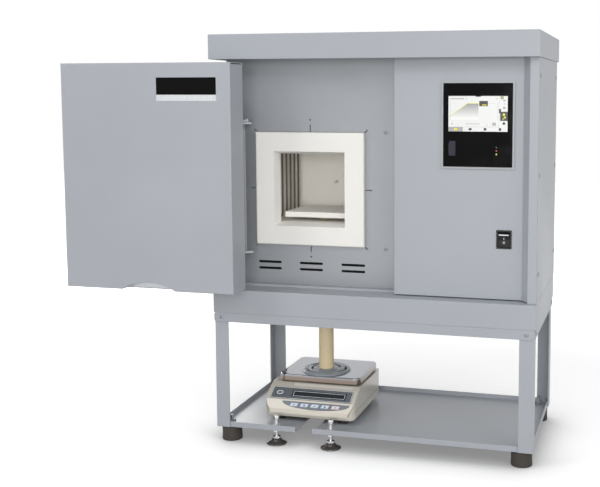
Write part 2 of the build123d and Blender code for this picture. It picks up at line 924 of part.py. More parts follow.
# Main switch: snap-in housing with a frame, and a rocker on a horizontal pivot
rocker_border = 4.4
rocker_swing = 1.3
rocker_half = switch_height / 2 - rocker_border
rocker_room = rocker_half + rocker_swing
rocker_width = switch_width - 2 * (play + sheet)
switch_front = panel_y - switch_frame
rocker_pivot = (switch_front + 4.5, switch_z)
axle_reach = running + seat
with BuildPart() as switch_housing:
    with BuildSketch(Plane.XZ.offset(-panel_y)):
        with Locations((switch_x, switch_z)):
            Rectangle(switch_width, switch_height)
    extrude(amount=switch_frame)
    chamfer(switch_housing.faces().sort_by(Axis.Y)[0].edges(), switch_edge)
    snap_margin = play + seat
    block(
        (switch_x - switch_width / 2 + snap_margin, switch_x + switch_width / 2 - snap_margin),
        (panel_y, panel_y + switch_depth),
        (switch_z - switch_height / 2 + snap_margin, switch_z + switch_height / 2 - snap_margin),
    )
    block(
        (switch_x - rocker_width / 2 - running, switch_x + rocker_width / 2 + running),
        (switch_front, switch_front + switch_pocket),
        (switch_z - rocker_room, switch_z + rocker_room),
        mode=Mode.SUBTRACT,
    )
    sideways(
        rocker_axle / 2 + running,
        (switch_x - rocker_width / 2 - axle_reach, switch_x + rocker_width / 2 + axle_reach),
        *rocker_pivot,
        Mode.SUBTRACT,
    )
switch_housing.part.label = "switch_housing"


def turned(points, pivot, angle):
    """Points of a plane outline, turned about a pivot by an angle in degrees."""
    c = cos(radians(angle))
    s = sin(radians(angle))
    a, b = pivot
    return [(a + c * (u - a) - s * (v - b), b + s * (u - a) + c * (v - b)) for u, v in points]


rocker_y, rocker_z = rocker_pivot
rocker_outline = [
    (rocker_y - 5.5, rocker_z - rocker_half),
    (rocker_y - 3.2, rocker_z),
    (rocker_y - 5.5, rocker_z + rocker_half),
    (rocker_y + 1.0, rocker_z + rocker_half - 1.0),
    (rocker_y + 5.0, rocker_z),
    (rocker_y + 1.0, rocker_z - rocker_half + 1.0),
]
with BuildPart() as switch_rocker:
    with BuildSketch(Plane.YZ.offset(switch_x - rocker_width / 2)):
        with BuildLine():
            Polyline(*turned(rocker_outline, rocker_pivot, rocker_angle), close=True)
        make_face()
    extrude(amount=rocker_width)
    axle_end = rocker_width / 2 + axle_reach - pin_fit
    sideways(rocker_axle / 2, (switch_x - axle_end, switch_x + axle_end), *rocker_pivot)
switch_rocker.part.label = "switch_rocker"


# Electrical side: transformer, power controller with fins, terminal block
def stack(x, y, size, lift=0.0):
    """Limits of a block that stands on the base panel, centred on x and y."""
    return (
        (x - size[0] / 2, x + size[0] / 2),
        (y - size[1] / 2, y + size[1] / 2),
        (sill_top + lift, sill_top + lift + size[2]),
    )


transformer_x = 190.0
transformer_y = 90.0
yoke = 18.0
coil_reach = 22.0
with BuildPart() as transformer:
    block(*stack(transformer_x, transformer_y, transformer_size))
    coil = (
        transformer_size[0] - 2 * yoke,
        transformer_size[1] + 2 * coil_reach,
        transformer_size[2] - 2 * yoke,
    )
    block(*stack(transformer_x, transformer_y, coil, yoke))
transformer.part.label = "transformer"

power_left = divider_x + sheet
power_right = power_left + power_unit_size[1]
power_front = -40.0
power_bottom = 520.0
fin_count = 5
fin_pitch = 16.0
fin_gap = 8.0
fin_depth = 24.0
with BuildPart() as power_unit:
    block(
        (power_left, power_right),
        (power_front, power_front + power_unit_size[0]),
        (power_bottom, power_bottom + power_unit_size[2]),
    )
    for i in range(fin_count):
        gap_y = power_front + fin_pitch * (i + 0.5)
        block(
            (power_right - fin_depth, power_right),
            (gap_y, gap_y + fin_gap),
            (power_bottom, power_bottom + power_unit_size[2]),
            mode=Mode.SUBTRACT,
        )
power_unit.part.label = "power_unit"


# Door and linkage: where the swing arm has carried the door when it stands open
shift_x = arm_length * (cos(radians(arm_open_angle)) - 1)
shift_y = -arm_length * sin(radians(arm_open_angle))
closed_x = plate_left + door_width / 2
door_x = closed_x + shift_x
door_y = front_y + door_recess + shift_y
door_bottom = sill_top + door_gap
door_height = cover_bottom - door_top_gap - door_bottom
door_z = door_bottom + door_height / 2
pivot_x = closed_x - arm_length
pivot_y = front_y + hinge_recess
carry_x = door_x
carry_y = pivot_y + shift_y
guide_dx = guide_offset * cos(radians(guide_angle))
guide_dy = guide_offset * sin(radians(guide_angle))
hinge_top = chamber_z + hinge_span / 2
hinge_bottom = chamber_z - hinge_span / 2
arm_top = hinge_top - ear_thickness - seat
arm_low = hinge_bottom + ear_thickness + seat
guide_z = hinge_top + cabinet_gap

# Door skin: folded front with flanges to the rear and a hand recess at the bottom
with BuildPart() as door_skin:
    with BuildSketch(Plane.XZ.offset(-door_y - door_depth)):
        with Locations((door_x, door_z)):
            Rectangle(door_width, door_height)
    extrude(amount=door_depth)
    fillet(door_skin.faces().sort_by(Axis.Y)[0].edges(), bend)
    block(
        (door_x - door_width / 2 + sheet, door_x + door_width / 2 - sheet),
        (door_y + sheet, door_y + door_depth),
        (door_bottom + sheet, door_bottom + door_height - sheet),
        mode=Mode.SUBTRACT,
    )
    with BuildSketch(Plane.XZ.offset(-door_y)):
        with BuildLine():
            half = grip_width / 2
            Line((door_x - half, door_bottom), (door_x + half, door_bottom))
            ThreePointArc(
                (door_x + half, door_bottom),
                (door_x, door_bottom + grip_height),
                (door_x - half, door_bottom),
            )
        make_face()
    extrude(amount=-inner_panel_depth, mode=Mode.SUBTRACT)
door_skin.part.label = "door_skin"

# Door: inner panel with the welded frame that holds the plug
inner_y = door_y + inner_panel_depth
frame_inner = plug_size + 2 * seat
frame_outer = frame_inner + 2 * sheet
frame_depth = plug_step - inner_panel_depth - sheet - 8.0
with BuildPart() as door_inner_panel:
    block(
        (door_x - door_width / 2 + sheet, door_x + door_width / 2 - sheet),
        (inner_y, inner_y + sheet),
        (door_bottom + sheet, door_bottom + door_height - sheet),
    )
    with BuildSketch(Plane.XZ.offset(-(inner_y + sheet))):
        with Locations((door_x, chamber_z)):
            Rectangle(frame_outer, frame_outer)
            Rectangle(frame_inner, frame_inner, mode=Mode.SUBTRACT)
    extrude(amount=-frame_depth)
door_inner_panel.part.label = "door_inner_panel"

# Door: insulation plug that covers the collar, and its nose for the mouth
nose_width = mouth_width - 2 * plug_clearance
nose_height = mouth_height - 2 * plug_clearance
nose_taper = mouth_taper * plug_reach / collar_depth
step_y = door_y + plug_step
with BuildPart() as door_plug:
    with BuildSketch(Plane.XZ.offset(-(inner_y + sheet))):
        with Locations((door_x, chamber_z)):
            Rectangle(plug_size, plug_size)
    extrude(amount=-(step_y - inner_y - sheet))
    fillet(door_plug.faces().sort_by(Axis.Y)[-1].edges(), collar_round)
    with BuildSketch(Plane.XZ.offset(-step_y)):
        with Locations((door_x, chamber_z)):
            Rectangle(nose_width, nose_height)
    with BuildSketch(Plane.XZ.offset(-step_y - plug_reach)):
        with Locations((door_x, chamber_z)):
            Rectangle(nose_width - 2 * nose_taper, nose_height - 2 * nose_taper)
    loft()
door_plug.part.label = "door_plug"

# Door: brackets above and below the plug, each with the pin that the arm carries
ear_radius = 13.0
guide_ear_radius = 8.0
guide_pin_top = guide_z + ear_thickness + 2.5
with BuildPart() as door_brackets:
    for z_plate, z_pin in (
        (hinge_top - ear_thickness, arm_top - arm_thickness - play),
        (hinge_bottom, arm_low + arm_thickness + play),
    ):
        with BuildSketch(Plane.XY.offset(z_plate)):
            with BuildLine():
                Polyline(
                    (carry_x - ear_radius, inner_y + sheet),
                    (carry_x + guide_dx + guide_ear_radius, inner_y + sheet),
                    (carry_x + guide_dx + guide_ear_radius, carry_y + guide_dy),
                    (carry_x, carry_y + ear_radius),
                    (carry_x - ear_radius, carry_y),
                    close=True,
                )
            make_face()
            with Locations((carry_x, carry_y)):
                Circle(ear_radius)
            with Locations((carry_x + guide_dx, carry_y + guide_dy)):
                Circle(guide_ear_radius)
        extrude(amount=ear_thickness)
        pin_span = sorted((z_plate + ear_thickness / 2, z_pin))
        upright(hinge_pin_diameter / 2, carry_x, carry_y, pin_span)
    flange_low = (hinge_bottom - 16.0, hinge_bottom)
    flange_high = (hinge_top, hinge_top + 16.0)
    for span in (flange_low, flange_high):
        block(
            (carry_x - ear_radius, carry_x + guide_dx + guide_ear_radius),
            (inner_y + sheet, inner_y + sheet + heavy_sheet),
            span,
        )
    upright(
        guide_pin_diameter / 2,
        carry_x + guide_dx,
        carry_y + guide_dy,
        (hinge_top - ear_thickness / 2, guide_pin_top),
    )
door_brackets.part.label = "door_brackets"

# Hinge bracket on the front plate: base strip, two ears, hinge pin and guide pin
bracket_thickness = 3.0
with BuildPart() as hinge_bracket:
    block(
        (pivot_x - ear_radius - 3.0, pivot_x + ear_radius + 3.0),
        (plate_y - bracket_thickness, plate_y),
        (hinge_bottom, hinge_top),
    )
    for z_ear in (hinge_bottom, hinge_top - ear_thickness):
        with BuildSketch(Plane.XY.offset(z_ear)):
            with BuildLine():
                Polyline(
                    (pivot_x - ear_radius, plate_y - bracket_thickness),
                    (pivot_x - ear_radius, pivot_y),
                    (pivot_x, pivot_y - ear_radius),
                    (pivot_x + guide_dx + guide_ear_radius, pivot_y + guide_dy),
                    (pivot_x + guide_dx + guide_ear_radius, plate_y - bracket_thickness),
                    close=True,
                )
            make_face()
            with Locations((pivot_x, pivot_y)):
                Circle(ear_radius)
        extrude(amount=ear_thickness)
    upright(hinge_pin_diameter / 2, pivot_x, pivot_y, (hinge_bottom, hinge_top))
    upright(
        guide_pin_diameter / 2,
        pivot_x + guide_dx,
        pivot_y + guide_dy,
        (hinge_top - ear_thickness / 2, guide_pin_top),
    )
hinge_bracket.part.label = "hinge_bracket"

# Swing arm: barrel on the hinge pin, two arms and a web between them
arm_direction = (cos(radians(-arm_open_angle)), sin(radians(-arm_open_angle)), 0)
arm_eye = arm_width / 2 - 2.0
with BuildPart() as swing_arm:
    upright(barrel_diameter / 2, pivot_x, pivot_y, (arm_low, arm_top))
    for z_arm in (arm_low, arm_top - arm_thickness):
        arm_plane = Plane(
            origin=(pivot_x, pivot_y, z_arm), x_dir=arm_direction, z_dir=(0, 0, 1)
        )
        with BuildSketch(arm_plane):
            with BuildLine():
                Polyline(
                    (0, -arm_width / 2),
                    (arm_length, -arm_eye),
                    (arm_length, arm_eye),
                    (0, arm_width / 2),
                    close=True,
                )
            make_face()
            Circle(arm_width / 2)
            with Locations((arm_length, 0)):
                Circle(arm_eye)
                Circle(hinge_pin_diameter / 2 + pin_fit, mode=Mode.SUBTRACT)
        extrude(amount=arm_thickness)
    web_plane = Plane(origin=(pivot_x, pivot_y, arm_low), x_dir=arm_direction, z_dir=(0, 0, 1))
    with BuildSketch(web_plane):
        with Locations((web_length / 2, 0)):
            Rectangle(web_length, ear_thickness)
    extrude(amount=arm_top - arm_low)
    upright(
        hinge_pin_diameter / 2 + pin_fit, pivot_x, pivot_y, (arm_low, arm_top), Mode.SUBTRACT
    )
swing_arm.part.label = "swing_arm"

# Guide link above the upper arm keeps the door parallel to the front
guide_plane = Plane(
    origin=(pivot_x + guide_dx, pivot_y + guide_dy, guide_z),
    x_dir=arm_direction,
    z_dir=(0, 0, 1),
)
with BuildPart() as guide_link:
    with BuildSketch(guide_plane):
        with Locations((arm_length / 2, 0)):
            SlotCenterToCenter(arm_length, guide_width)
        Circle(guide_pin_diameter / 2 + pin_fit, mode=Mode.SUBTRACT)
        with Locations((arm_length, 0)):
            Circle(guide_pin_diameter / 2 + guide_slack, mode=Mode.SUBTRACT)
    extrude(amount=ear_thickness)
guide_link.part.label = "guide_link"


# Balance housing: side outline carried across the width, corners rounded in plan
balance_y = front_y + (balance_front + balance_rear) / 2
balance_depth = balance_rear - balance_front
profile = [(front_y + balance_front + back, base_z + rise) for back, rise in balance_profile]
inner_width = balance_width - 2 * balance_wall
opening_half_x = inner_width / 2 - opening_margin
opening_half_y = balance_depth / 2 - balance_wall - opening_margin
pan_y = front_y + pan_recess
nose_low, nose_high, slope_high = profile[2], profile[3], profile[4]


def slope_plane(low, high, shift, along):
    """A plane on a sloped face of the housing, centred between two outline points."""
    run, rise = high[0] - low[0], high[1] - low[1]
    length = hypot(run, rise)
    share = 0.5 + along / length
    origin = (balance_x + shift, low[0] + run * share, low[1] + rise * share)
    return Plane(origin=origin, x_dir=(1, 0, 0), z_dir=(0, -rise / length, run / length))


key_plane = slope_plane(nose_low, nose_high, key_shift, -0.5)
key_centres = [(i - (key_count - 1) / 2) * key_pitch for i in range(key_count)]


def key_outline(centre, grow):
    """A slanted key about its centre, wider by a clearance on every side."""
    half_w = key_width / 2 + grow
    half_h = key_height / 2 + grow
    lean = key_skew / 2
    return [
        (centre - half_w - lean, key_lift - half_h),
        (centre + half_w - lean, key_lift - half_h),
        (centre + half_w + lean, key_lift + half_h),
        (centre - half_w + lean, key_lift + half_h),
    ]


with BuildPart() as balance_housing:
    with BuildSketch(Plane.YZ.offset(balance_x - balance_width / 2)):
        with BuildLine():
            Polyline(*profile, close=True)
        make_face()
    extrude(amount=balance_width)
    with BuildSketch(Plane.XY.offset(base_z)):
        with Locations((balance_x, balance_y)):
            RectangleRounded(balance_width, balance_depth, balance_corner)
    extrude(amount=top_z - base_z, mode=Mode.INTERSECT)
    with BuildSketch(Plane.YZ.offset(balance_x - inner_width / 2)):
        with BuildLine():
            Polyline(*profile, close=True)
        make_face()
        offset(amount=-balance_wall, kind=Kind.INTERSECTION)
    extrude(amount=inner_width, mode=Mode.SUBTRACT)
    block(
        (balance_x - opening_half_x, balance_x + opening_half_x),
        (balance_y - opening_half_y, balance_y + opening_half_y),
        (base_z, base_z + 2 * balance_wall),
        mode=Mode.SUBTRACT,
    )
    with Locations((chamber_x, pan_y, top_z)):
        Hole(stem_diameter / 2 + play, depth=2 * balance_wall)
    with BuildSketch(key_plane):
        for centre in key_centres:
            with BuildLine():
                Polyline(*key_outline(centre, seat), close=True)
            make_face()
    extrude(amount=-key_travel - 2 * seat, mode=Mode.SUBTRACT)
balance_housing.part.label = "balance_housing"


# Balance base: closes the housing below and stands on four feet
base_top = base_z + balance_base_height
balance_foot_x = opening_half_x - balance_foot_diameter / 2 - play
balance_foot_y = opening_half_y - balance_foot_diameter / 2 - play
with BuildPart() as balance_base:
    block(
        (balance_x - opening_half_x + seat, balance_x + opening_half_x - seat),
        (balance_y - opening_half_y + seat, balance_y + opening_half_y - seat),
        (base_z, base_top),
    )
    with BuildSketch(Plane.XY.offset(shelf_top)):
        with Locations((balance_x, balance_y)):
            with GridLocations(2 * balance_foot_x, 2 * balance_foot_y, 2, 2):
                RegularPolygon(balance_foot_diameter / 2, foot_sides)
    extrude(amount=base_z - shelf_top)
balance_base.part.label = "balance_base"

# Load cell on the base, under the stem of the pan
load_cell_top = base_top + load_cell_size[2]
with BuildPart() as load_cell:
    block(
        (chamber_x - load_cell_size[0] / 2, chamber_x + load_cell_size[0] / 2),
        (pan_y - load_cell_size[1] / 2, pan_y + load_cell_size[1] / 2),
        (base_top, load_cell_top),
    )
    block(
        (chamber_x - load_cell_size[0] / 2, chamber_x + load_cell_size[0] / 2),
        (pan_y - load_cell_size[2], pan_y + load_cell_size[2]),
        (base_top + load_cell_web, load_cell_top - load_cell_web),
        mode=Mode.SUBTRACT,
    )
load_cell.part.label = "load_cell"

# Display panel on the upper slope, with the window that the display fills
panel_width = balance_width - 2 * panel_side
panel_plane = slope_plane(nose_high, slope_high, 0, 0)
with BuildPart() as balance_panel:
    with BuildSketch(panel_plane):
        RectangleRounded(panel_width, panel_height, play)
        with Locations((display_shift, 0)):
            Rectangle(display_width + 2 * seat, display_height + 2 * seat, mode=Mode.SUBTRACT)
    extrude(amount=panel_thickness)
balance_panel.part.label = "balance_panel"

with BuildPart() as balance_display:
    with BuildSketch(panel_plane):
        with Locations((display_shift, 0)):
            Rectangle(display_width, display_height)
    extrude(amount=panel_thickness / 2)
balance_display.part.label = "balance_display"

# Keys: slanted caps that sink into their pockets on the nose of the housing
balance_keys = []
for i, centre in enumerate(key_centres):
    with BuildPart() as balance_key:
        with BuildSketch(key_plane.offset(-seat)):
            with BuildLine():
                Polyline(*key_outline(centre, 0), close=True)
            make_face()
        extrude(amount=key_proud + seat)
        key_axis = Axis(key_plane.origin, key_plane.z_dir)
        chamfer(balance_key.faces().sort_by(key_axis)[-1].edges(), key_edge)
    balance_key.part.label = f"key_{i + 1}"
    balance_keys.append(balance_key)

# Weighing pan: a shallow folded tray, open below, on a stem through the housing
pan_bottom = pan_top - pan_height
with BuildPart() as weighing_pan:
    with BuildSketch(Plane.XY.offset(pan_bottom)):
        with Locations((chamber_x, pan_y)):
            RectangleRounded(pan_width, pan_depth, pan_corner)
    extrude(amount=pan_height)
    chamfer(weighing_pan.faces().sort_by(Axis.Z)[-1].edges(), pan_sheet - seat)
    with BuildSketch(Plane.XY.offset(pan_bottom)):
        with Locations((chamber_x, pan_y)):
            RectangleRounded(
                pan_width - 2 * pan_sheet, pan_depth - 2 * pan_sheet, pan_corner - pan_sheet
            )
    extrude(amount=pan_height - pan_sheet, mode=Mode.SUBTRACT)
    upright(
        stem_diameter / 2,
        chamber_x,
        pan_y,
        (load_cell_top + pan_travel + seat, pan_top - pan_sheet),
    )
weighing_pan.part.label = "weighing_pan"

def around_tube(radius, angle):
    """A point at a radius and an angle round the ceramic tube, seen from above."""
    return chamber_x + radius * cos(radians(angle)), tube_y + radius * sin(radians(angle))


# Adapter disc with curved slots and the seat of the ceramic tube
disc_top = pan_top + disc_height
disc_seat = disc_top - tube_seat_depth
with BuildPart() as adapter_disc:
    upright(disc_diameter / 2, chamber_x, tube_y, (pan_top, disc_top))
    with BuildSketch(Plane.XY.offset(pan_top)):
        for ring, radius in enumerate(disc_slot_radii):
            for i in range(disc_slot_count):
                start = 360.0 / disc_slot_count * (i + ring / 2) + disc_slot_turn
                turns = [start + disc_slot_sweep * k / disc_chords for k in range(disc_chords + 1)]
                inner = [around_tube(radius - disc_slot_width / 2, turn) for turn in turns]
                outer = [around_tube(radius + disc_slot_width / 2, turn) for turn in turns]
                with BuildLine():
                    Polyline(*inner, *reversed(outer), close=True)
                make_face()
    extrude(amount=disc_height, mode=Mode.SUBTRACT)
    upright(
        tube_diameter / 2 + seat, chamber_x, tube_y, (disc_seat, disc_top), mode=Mode.SUBTRACT
    )
adapter_disc.part.label = "adapter_disc"

# Ceramic tube from the disc up through the furnace floor
sample_bottom = sample_top - sample_thickness
with BuildPart() as ceramic_tube:
    upright(tube_diameter / 2, chamber_x, tube_y, (disc_seat, sample_bottom))
    upright(tube_bore / 2, chamber_x, tube_y, (disc_seat, sample_bottom), mode=Mode.SUBTRACT)
ceramic_tube.part.label = "ceramic_tube"

# Plate that carries the sample, on the tube in the chamber
with BuildPart() as sample_plate:
    with BuildSketch(Plane.XY.offset(sample_bottom)):
        with Locations((chamber_x, tube_y)):
            Rectangle(sample_width, sample_width)
    extrude(amount=sample_thickness)
    chamfer(sample_plate.faces().sort_by(Axis.Z)[-1].edges(), sample_edge)
sample_plate.part.label = "sample_plate"


pieces = [
    stand_legs,
    stand_rails,
    shelf_tray,
    rubber_feet,
    leveller_nuts,
    *leveller_pads,
    *leveller_studs,
    plinth,
    base_panel,
    front_plate,
    left_side_panel,
    right_side_panel,
    control_panel,
    divider,
    rear_panel,
    cable_gland,
    exhaust_outlet,
    top_cover,
    chamber_collar,
    insulation_base,
    insulation_sides,
    insulation_rear,
    insulation_roof,
    heating_elements,
    element_holders,
    element_straps,
    thermocouple,
    controller_frame,
    controller_glass,
    controller_case,
    usb_flap,
    switch_housing,
    switch_rocker,
    transformer,
    power_unit,
    door_skin,
    door_inner_panel,
    door_plug,
    door_brackets,
    hinge_bracket,
    swing_arm,
    guide_link,
    balance_base,
    balance_housing,
    balance_panel,
    balance_display,
    load_cell,
    *balance_keys,
    weighing_pan,
    adapter_disc,
    ceramic_tube,
    sample_plate,
]
for piece in pieces:
    export_step(piece.part, f"parts/{piece.part.label}.step")
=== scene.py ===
import json
from math import pi, radians

import bpy
import numpy as np
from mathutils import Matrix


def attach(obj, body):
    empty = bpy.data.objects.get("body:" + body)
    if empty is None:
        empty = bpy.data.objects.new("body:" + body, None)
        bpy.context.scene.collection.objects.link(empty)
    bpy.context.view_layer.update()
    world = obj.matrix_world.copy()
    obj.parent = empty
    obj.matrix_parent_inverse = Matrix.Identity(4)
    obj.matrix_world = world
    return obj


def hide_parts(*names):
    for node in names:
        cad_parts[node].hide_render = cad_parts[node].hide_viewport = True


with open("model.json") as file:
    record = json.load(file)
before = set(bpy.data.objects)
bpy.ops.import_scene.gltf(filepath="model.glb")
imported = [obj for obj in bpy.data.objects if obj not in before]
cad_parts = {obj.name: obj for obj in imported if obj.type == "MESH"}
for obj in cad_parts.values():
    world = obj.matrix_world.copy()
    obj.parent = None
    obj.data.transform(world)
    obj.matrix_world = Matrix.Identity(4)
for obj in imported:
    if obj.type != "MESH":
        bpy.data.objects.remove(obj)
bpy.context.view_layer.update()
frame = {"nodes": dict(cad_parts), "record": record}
nodes = frame["nodes"]

# Measures, in millimetres
MM = 0.001
X, Y, Z = np.eye(3)
chamber_middle = -140.5
plate_face, glass_face = -94.0, -137.0
right_face, left_face, rear_face = 325.5, -320.5, 184.0
stand_front, stand_side = 165.0, 325.0
shelf_top = 33.0
leveller_places = {"left": (-200.0, -146.0), "right": (-84.0, -146.0)}
foot_places = [(x, y) for x in (-300.0, 300.0) for y in (-140.0, 140.0)]


# Surfaces from formulas
def skin(rings, ring_again=False):
    """Skin through closed rings of equal count: point j of ring i is joined to point j + 1 and
    to point j of the next ring; flat faces close the ends, or the last ring joins the first."""
    rings = np.asarray(rings, float)
    layers, count = rings.shape[:2]
    index = np.arange(layers * count).reshape(layers, count)
    near = index if ring_again else index[:-1]
    far = np.roll(index, -1, 0) if ring_again else index[1:]
    quads = np.stack([near, np.roll(near, -1, 1), np.roll(far, -1, 1), far], -1)
    faces = quads.reshape(-1, 4).tolist()
    if not ring_again:
        faces += [index[0, ::-1].tolist(), index[-1].tolist()]
    return rings.reshape(-1, 3), faces


def lay(part, origin, u=X, v=Y):
    """Moves a part from its own (u, v, n) axes to the frame: origin + a u + b v + c (u x v)."""
    points, faces = part
    origin, u, v = (np.asarray(value, float) for value in (origin, u, v))
    return origin + points @ np.stack([u, v, np.cross(u, v)]), faces


def joined(parts):
    """Several parts as one list of points and faces."""
    points, faces, offset = [], [], 0
    for part_points, part_faces in parts:
        points.append(part_points)
        faces += [[offset + corner for corner in face] for face in part_faces]
        offset += len(part_points)
    return np.concatenate(points), faces


def softened(points, radius, steps=5):
    """An open outline whose inner corners are replaced by curves (1-t)^2 a + 2t(1-t) c + t^2 b,
    a and b lying a radius before and after the corner c."""
    points = np.asarray(points, float)
    t = np.linspace(0, 1, steps)[:, None]
    found = [points[:1]]
    for before, corner, after in zip(points[:-2], points[1:-1], points[2:]):
        back, on = before - corner, after - corner
        back_reach = min(radius, np.linalg.norm(back) / 2)
        on_reach = min(radius, np.linalg.norm(on) / 2)
        a = corner + back / np.linalg.norm(back) * back_reach
        b = corner + on / np.linalg.norm(on) * on_reach
        found.append((1 - t) ** 2 * a + 2 * t * (1 - t) * corner + t**2 * b)
    found.append(points[-1:])
    return np.concatenate(found)


def turned(profile, count):
    """Surface of revolution about Z: (r cos a, r sin a, h) for each (r, h) of the profile."""
    profile = np.asarray(profile, float)
    angle = np.linspace(0, 2 * pi, count, endpoint=False)
    ring = np.stack([np.cos(angle), np.sin(angle)], -1)
    flat = profile[:, None, :1] * ring[None]
    height = np.broadcast_to(profile[:, None, 1:], (len(profile), count, 1))
    return skin(np.concatenate([flat, height], -1))


def rounded_box_outline(width, height, radius, steps=6):
    """Rectangle with corner arcs: corner centre + radius (cos a, sin a), a quarter turn each."""
    angle = np.concatenate([np.linspace(q, q + pi / 2, steps) for q in np.arange(4) * pi / 2])
    side = np.stack([np.cos(angle), np.sin(angle)], -1)
    centre = np.array([width / 2 - radius, height / 2 - radius])
    sign = np.repeat(np.array([(1, 1), (-1, 1), (-1, -1), (1, -1)]), steps, axis=0)
    return sign * centre + radius * side


def slab(outline, depth, base=0.0):
    """A flat outline raised from base to base + depth."""
    outline = np.asarray(outline, float)
    levels = np.array([base, base + depth])
    rings = np.zeros((2, len(outline), 3))
    rings[:, :, :2] = outline
    rings[:, :, 2] = levels[:, None]
    return skin(rings)


def bar(x0, y0, x1, y1):
    """Outline of a rectangle between two corners."""
    return [(x0, y0), (x1, y0), (x1, y1), (x0, y1)]


def ribbon(points, width):
    """Outline of a line of even width: each point moved half the width to both sides."""
    points = np.asarray(points, float)
    run = np.gradient(points, axis=0)
    run /= np.linalg.norm(run, axis=1)[:, None]
    side = np.stack([-run[:, 1], run[:, 0]], -1) * width / 2
    return np.concatenate([points - side, (points + side)[::-1]])


def ellipse(width, height, count=32, start=0.0, end=2 * pi):
    """Points (w/2 cos a, h/2 sin a) from one angle to another."""
    angle = np.linspace(start, end, count, endpoint=end - start < 2 * pi - 1e-6)
    return np.stack([np.cos(angle) * width / 2, np.sin(angle) * height / 2], -1)


def hoop(outer, inner, depth):
    """A flat ring: the skin goes up the outer outline and down the inner one."""
    outer, inner = np.asarray(outer, float), np.asarray(inner, float)
    rings = np.zeros((4, len(outer), 3))
    way_round = ((outer, 0), (outer, depth), (inner, depth), (inner, 0))
    for layer, (outline, level) in enumerate(way_round):
        rings[layer, :, :2] = outline
        rings[layer, :, 2] = level
    return skin(rings, ring_again=True)


def tube(path, radius, side, count):
    """Round tube: path point + r (cos a side + sin a (t x side)), with t the path's direction."""
    path = np.asarray(path, float)
    radius = np.broadcast_to(np.asarray(radius, float), len(path))
    run = np.gradient(path, axis=0)
    run /= np.linalg.norm(run, axis=1)[:, None]
    across = np.cross(run, side)
    angle = np.linspace(0, 2 * pi, count, endpoint=False)
    rings = path[:, None] + radius[:, None, None] * (
        np.cos(angle)[None, :, None] * side + np.sin(angle)[None, :, None] * across[:, None]
    )
    return skin(rings)


def threaded(radius, low, high, pitch=1.25, depth=0.55, count=24, steps=7):
    """Threaded rod: r = radius - depth |2 frac(h / pitch - a / 2 pi) - 1| at angle a, height h."""
    level = np.linspace(low, high, int((high - low) / pitch * steps) + 1)
    angle = np.linspace(0, 2 * pi, count, endpoint=False)
    phase = (level[:, None] / pitch - angle[None] / (2 * pi)) % 1.0
    r = radius - depth * np.abs(2 * phase - 1)
    r[[0, -1]] = radius - depth
    rings = np.stack(
        [r * np.cos(angle), r * np.sin(angle), np.broadcast_to(level[:, None], r.shape)], -1
    )
    return skin(rings)


def nut(flats, height, low, count=48):
    """Hexagon whose corners are cut by a cone: r = min(hexagon, circle) at both end faces."""
    angle = np.linspace(0, 2 * pi, count, endpoint=False)
    hexagon = flats / 2 / np.cos((angle + pi / 6) % (pi / 3) - pi / 6)
    end_circle = flats / 2 * 1.01
    chamfered = np.minimum(hexagon, end_circle)
    rim = 0.13 * height
    rings = []
    for r, level in ((chamfered, 0), (hexagon, rim), (hexagon, height - rim), (chamfered, height)):
        height_here = np.full(count, low + level)
        rings.append(np.stack([r * np.cos(angle), r * np.sin(angle), height_here], -1))
    return skin(rings)


def screw_head(radius=4.0, height=1.9, count=48):
    """Domed head: h (1 - 0.5 s^2) over the share s of the radius, less a cross recess where
    one of |x|, |y| is under 0.17 r and the other under 0.62 r."""
    share = np.array(
        [1.0, 1.0, 0.94, 0.84, 0.74, 0.66, 0.6, 0.52, 0.44, 0.36, 0.28, 0.2, 0.12, 0.04]
    )
    angle = np.linspace(0, 2 * pi, count, endpoint=False)
    x = radius * share[:, None] * np.cos(angle)
    y = radius * share[:, None] * np.sin(angle)
    narrow, wide = np.minimum(abs(x), abs(y)), np.maximum(abs(x), abs(y))
    half_width, reach, sunk = 0.17 * radius, 0.62 * radius, 0.6 * height
    side_wall, end_wall = 0.25, 0.3
    across = np.clip((half_width - narrow) / side_wall, 0, 1)
    along = np.clip((reach - wide) / end_wall, 0, 1)
    z = height * (1 - 0.5 * share[:, None] ** 2) - sunk * (across * along)
    z[0] = 0.0
    return skin(np.stack([x, y, z], -1))


def piece(name, parts, finish, *, body="furnace", instead_of=(), sharp=35.0):
    """One object from parts in millimetres, smooth but for its sharp edges: it rides on a body,
    takes the finish it is given, and may stand for nodes of the CAD model."""
    points, faces = joined(parts)
    mesh = bpy.data.meshes.new(name)
    mesh.from_pydata((points * MM).tolist(), [], faces)
    mesh.shade_smooth()
    mesh.set_sharp_from_angle(angle=radians(sharp))
    mesh.materials.append(finish)
    made = bpy.data.objects.new(name, mesh)
    bpy.context.scene.collection.objects.link(made)
    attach(made, body)
    if instead_of:
        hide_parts(*instead_of)


# Shader parts
def srgb(red, green, blue):
    """Linear colour of an 8-bit screen colour."""
    value = np.array([red, green, blue]) / 255
    linear = np.where(value <= 0.04045, value / 12.92, ((value + 0.055) / 1.055) ** 2.4)
    return (*linear.tolist(), 1.0)


def fill(tree, node, values):
    """Gives each named input of a node its value or a link."""
    for key, value in values.items():
        if isinstance(value, bpy.types.NodeSocket):
            tree.links.new(value, node.inputs[key])
        else:
            node.inputs[key].default_value = value


def add(tree, kind, values=None, **settings):
    """A node with its settings and inputs."""
    made = tree.nodes.new("ShaderNode" + kind)
    for key, value in settings.items():
        setattr(made, key, value)
    fill(tree, made, values or {})
    return made


def mix(tree, factor, first, second):
    """Colour between two others; the node's sockets for colours go by number."""
    factor_socket, first_socket, second_socket, result_socket = 0, 6, 7, 2
    values = {factor_socket: factor, first_socket: first, second_socket: second}
    return add(tree, "Mix", values, data_type="RGBA").outputs[result_socket]


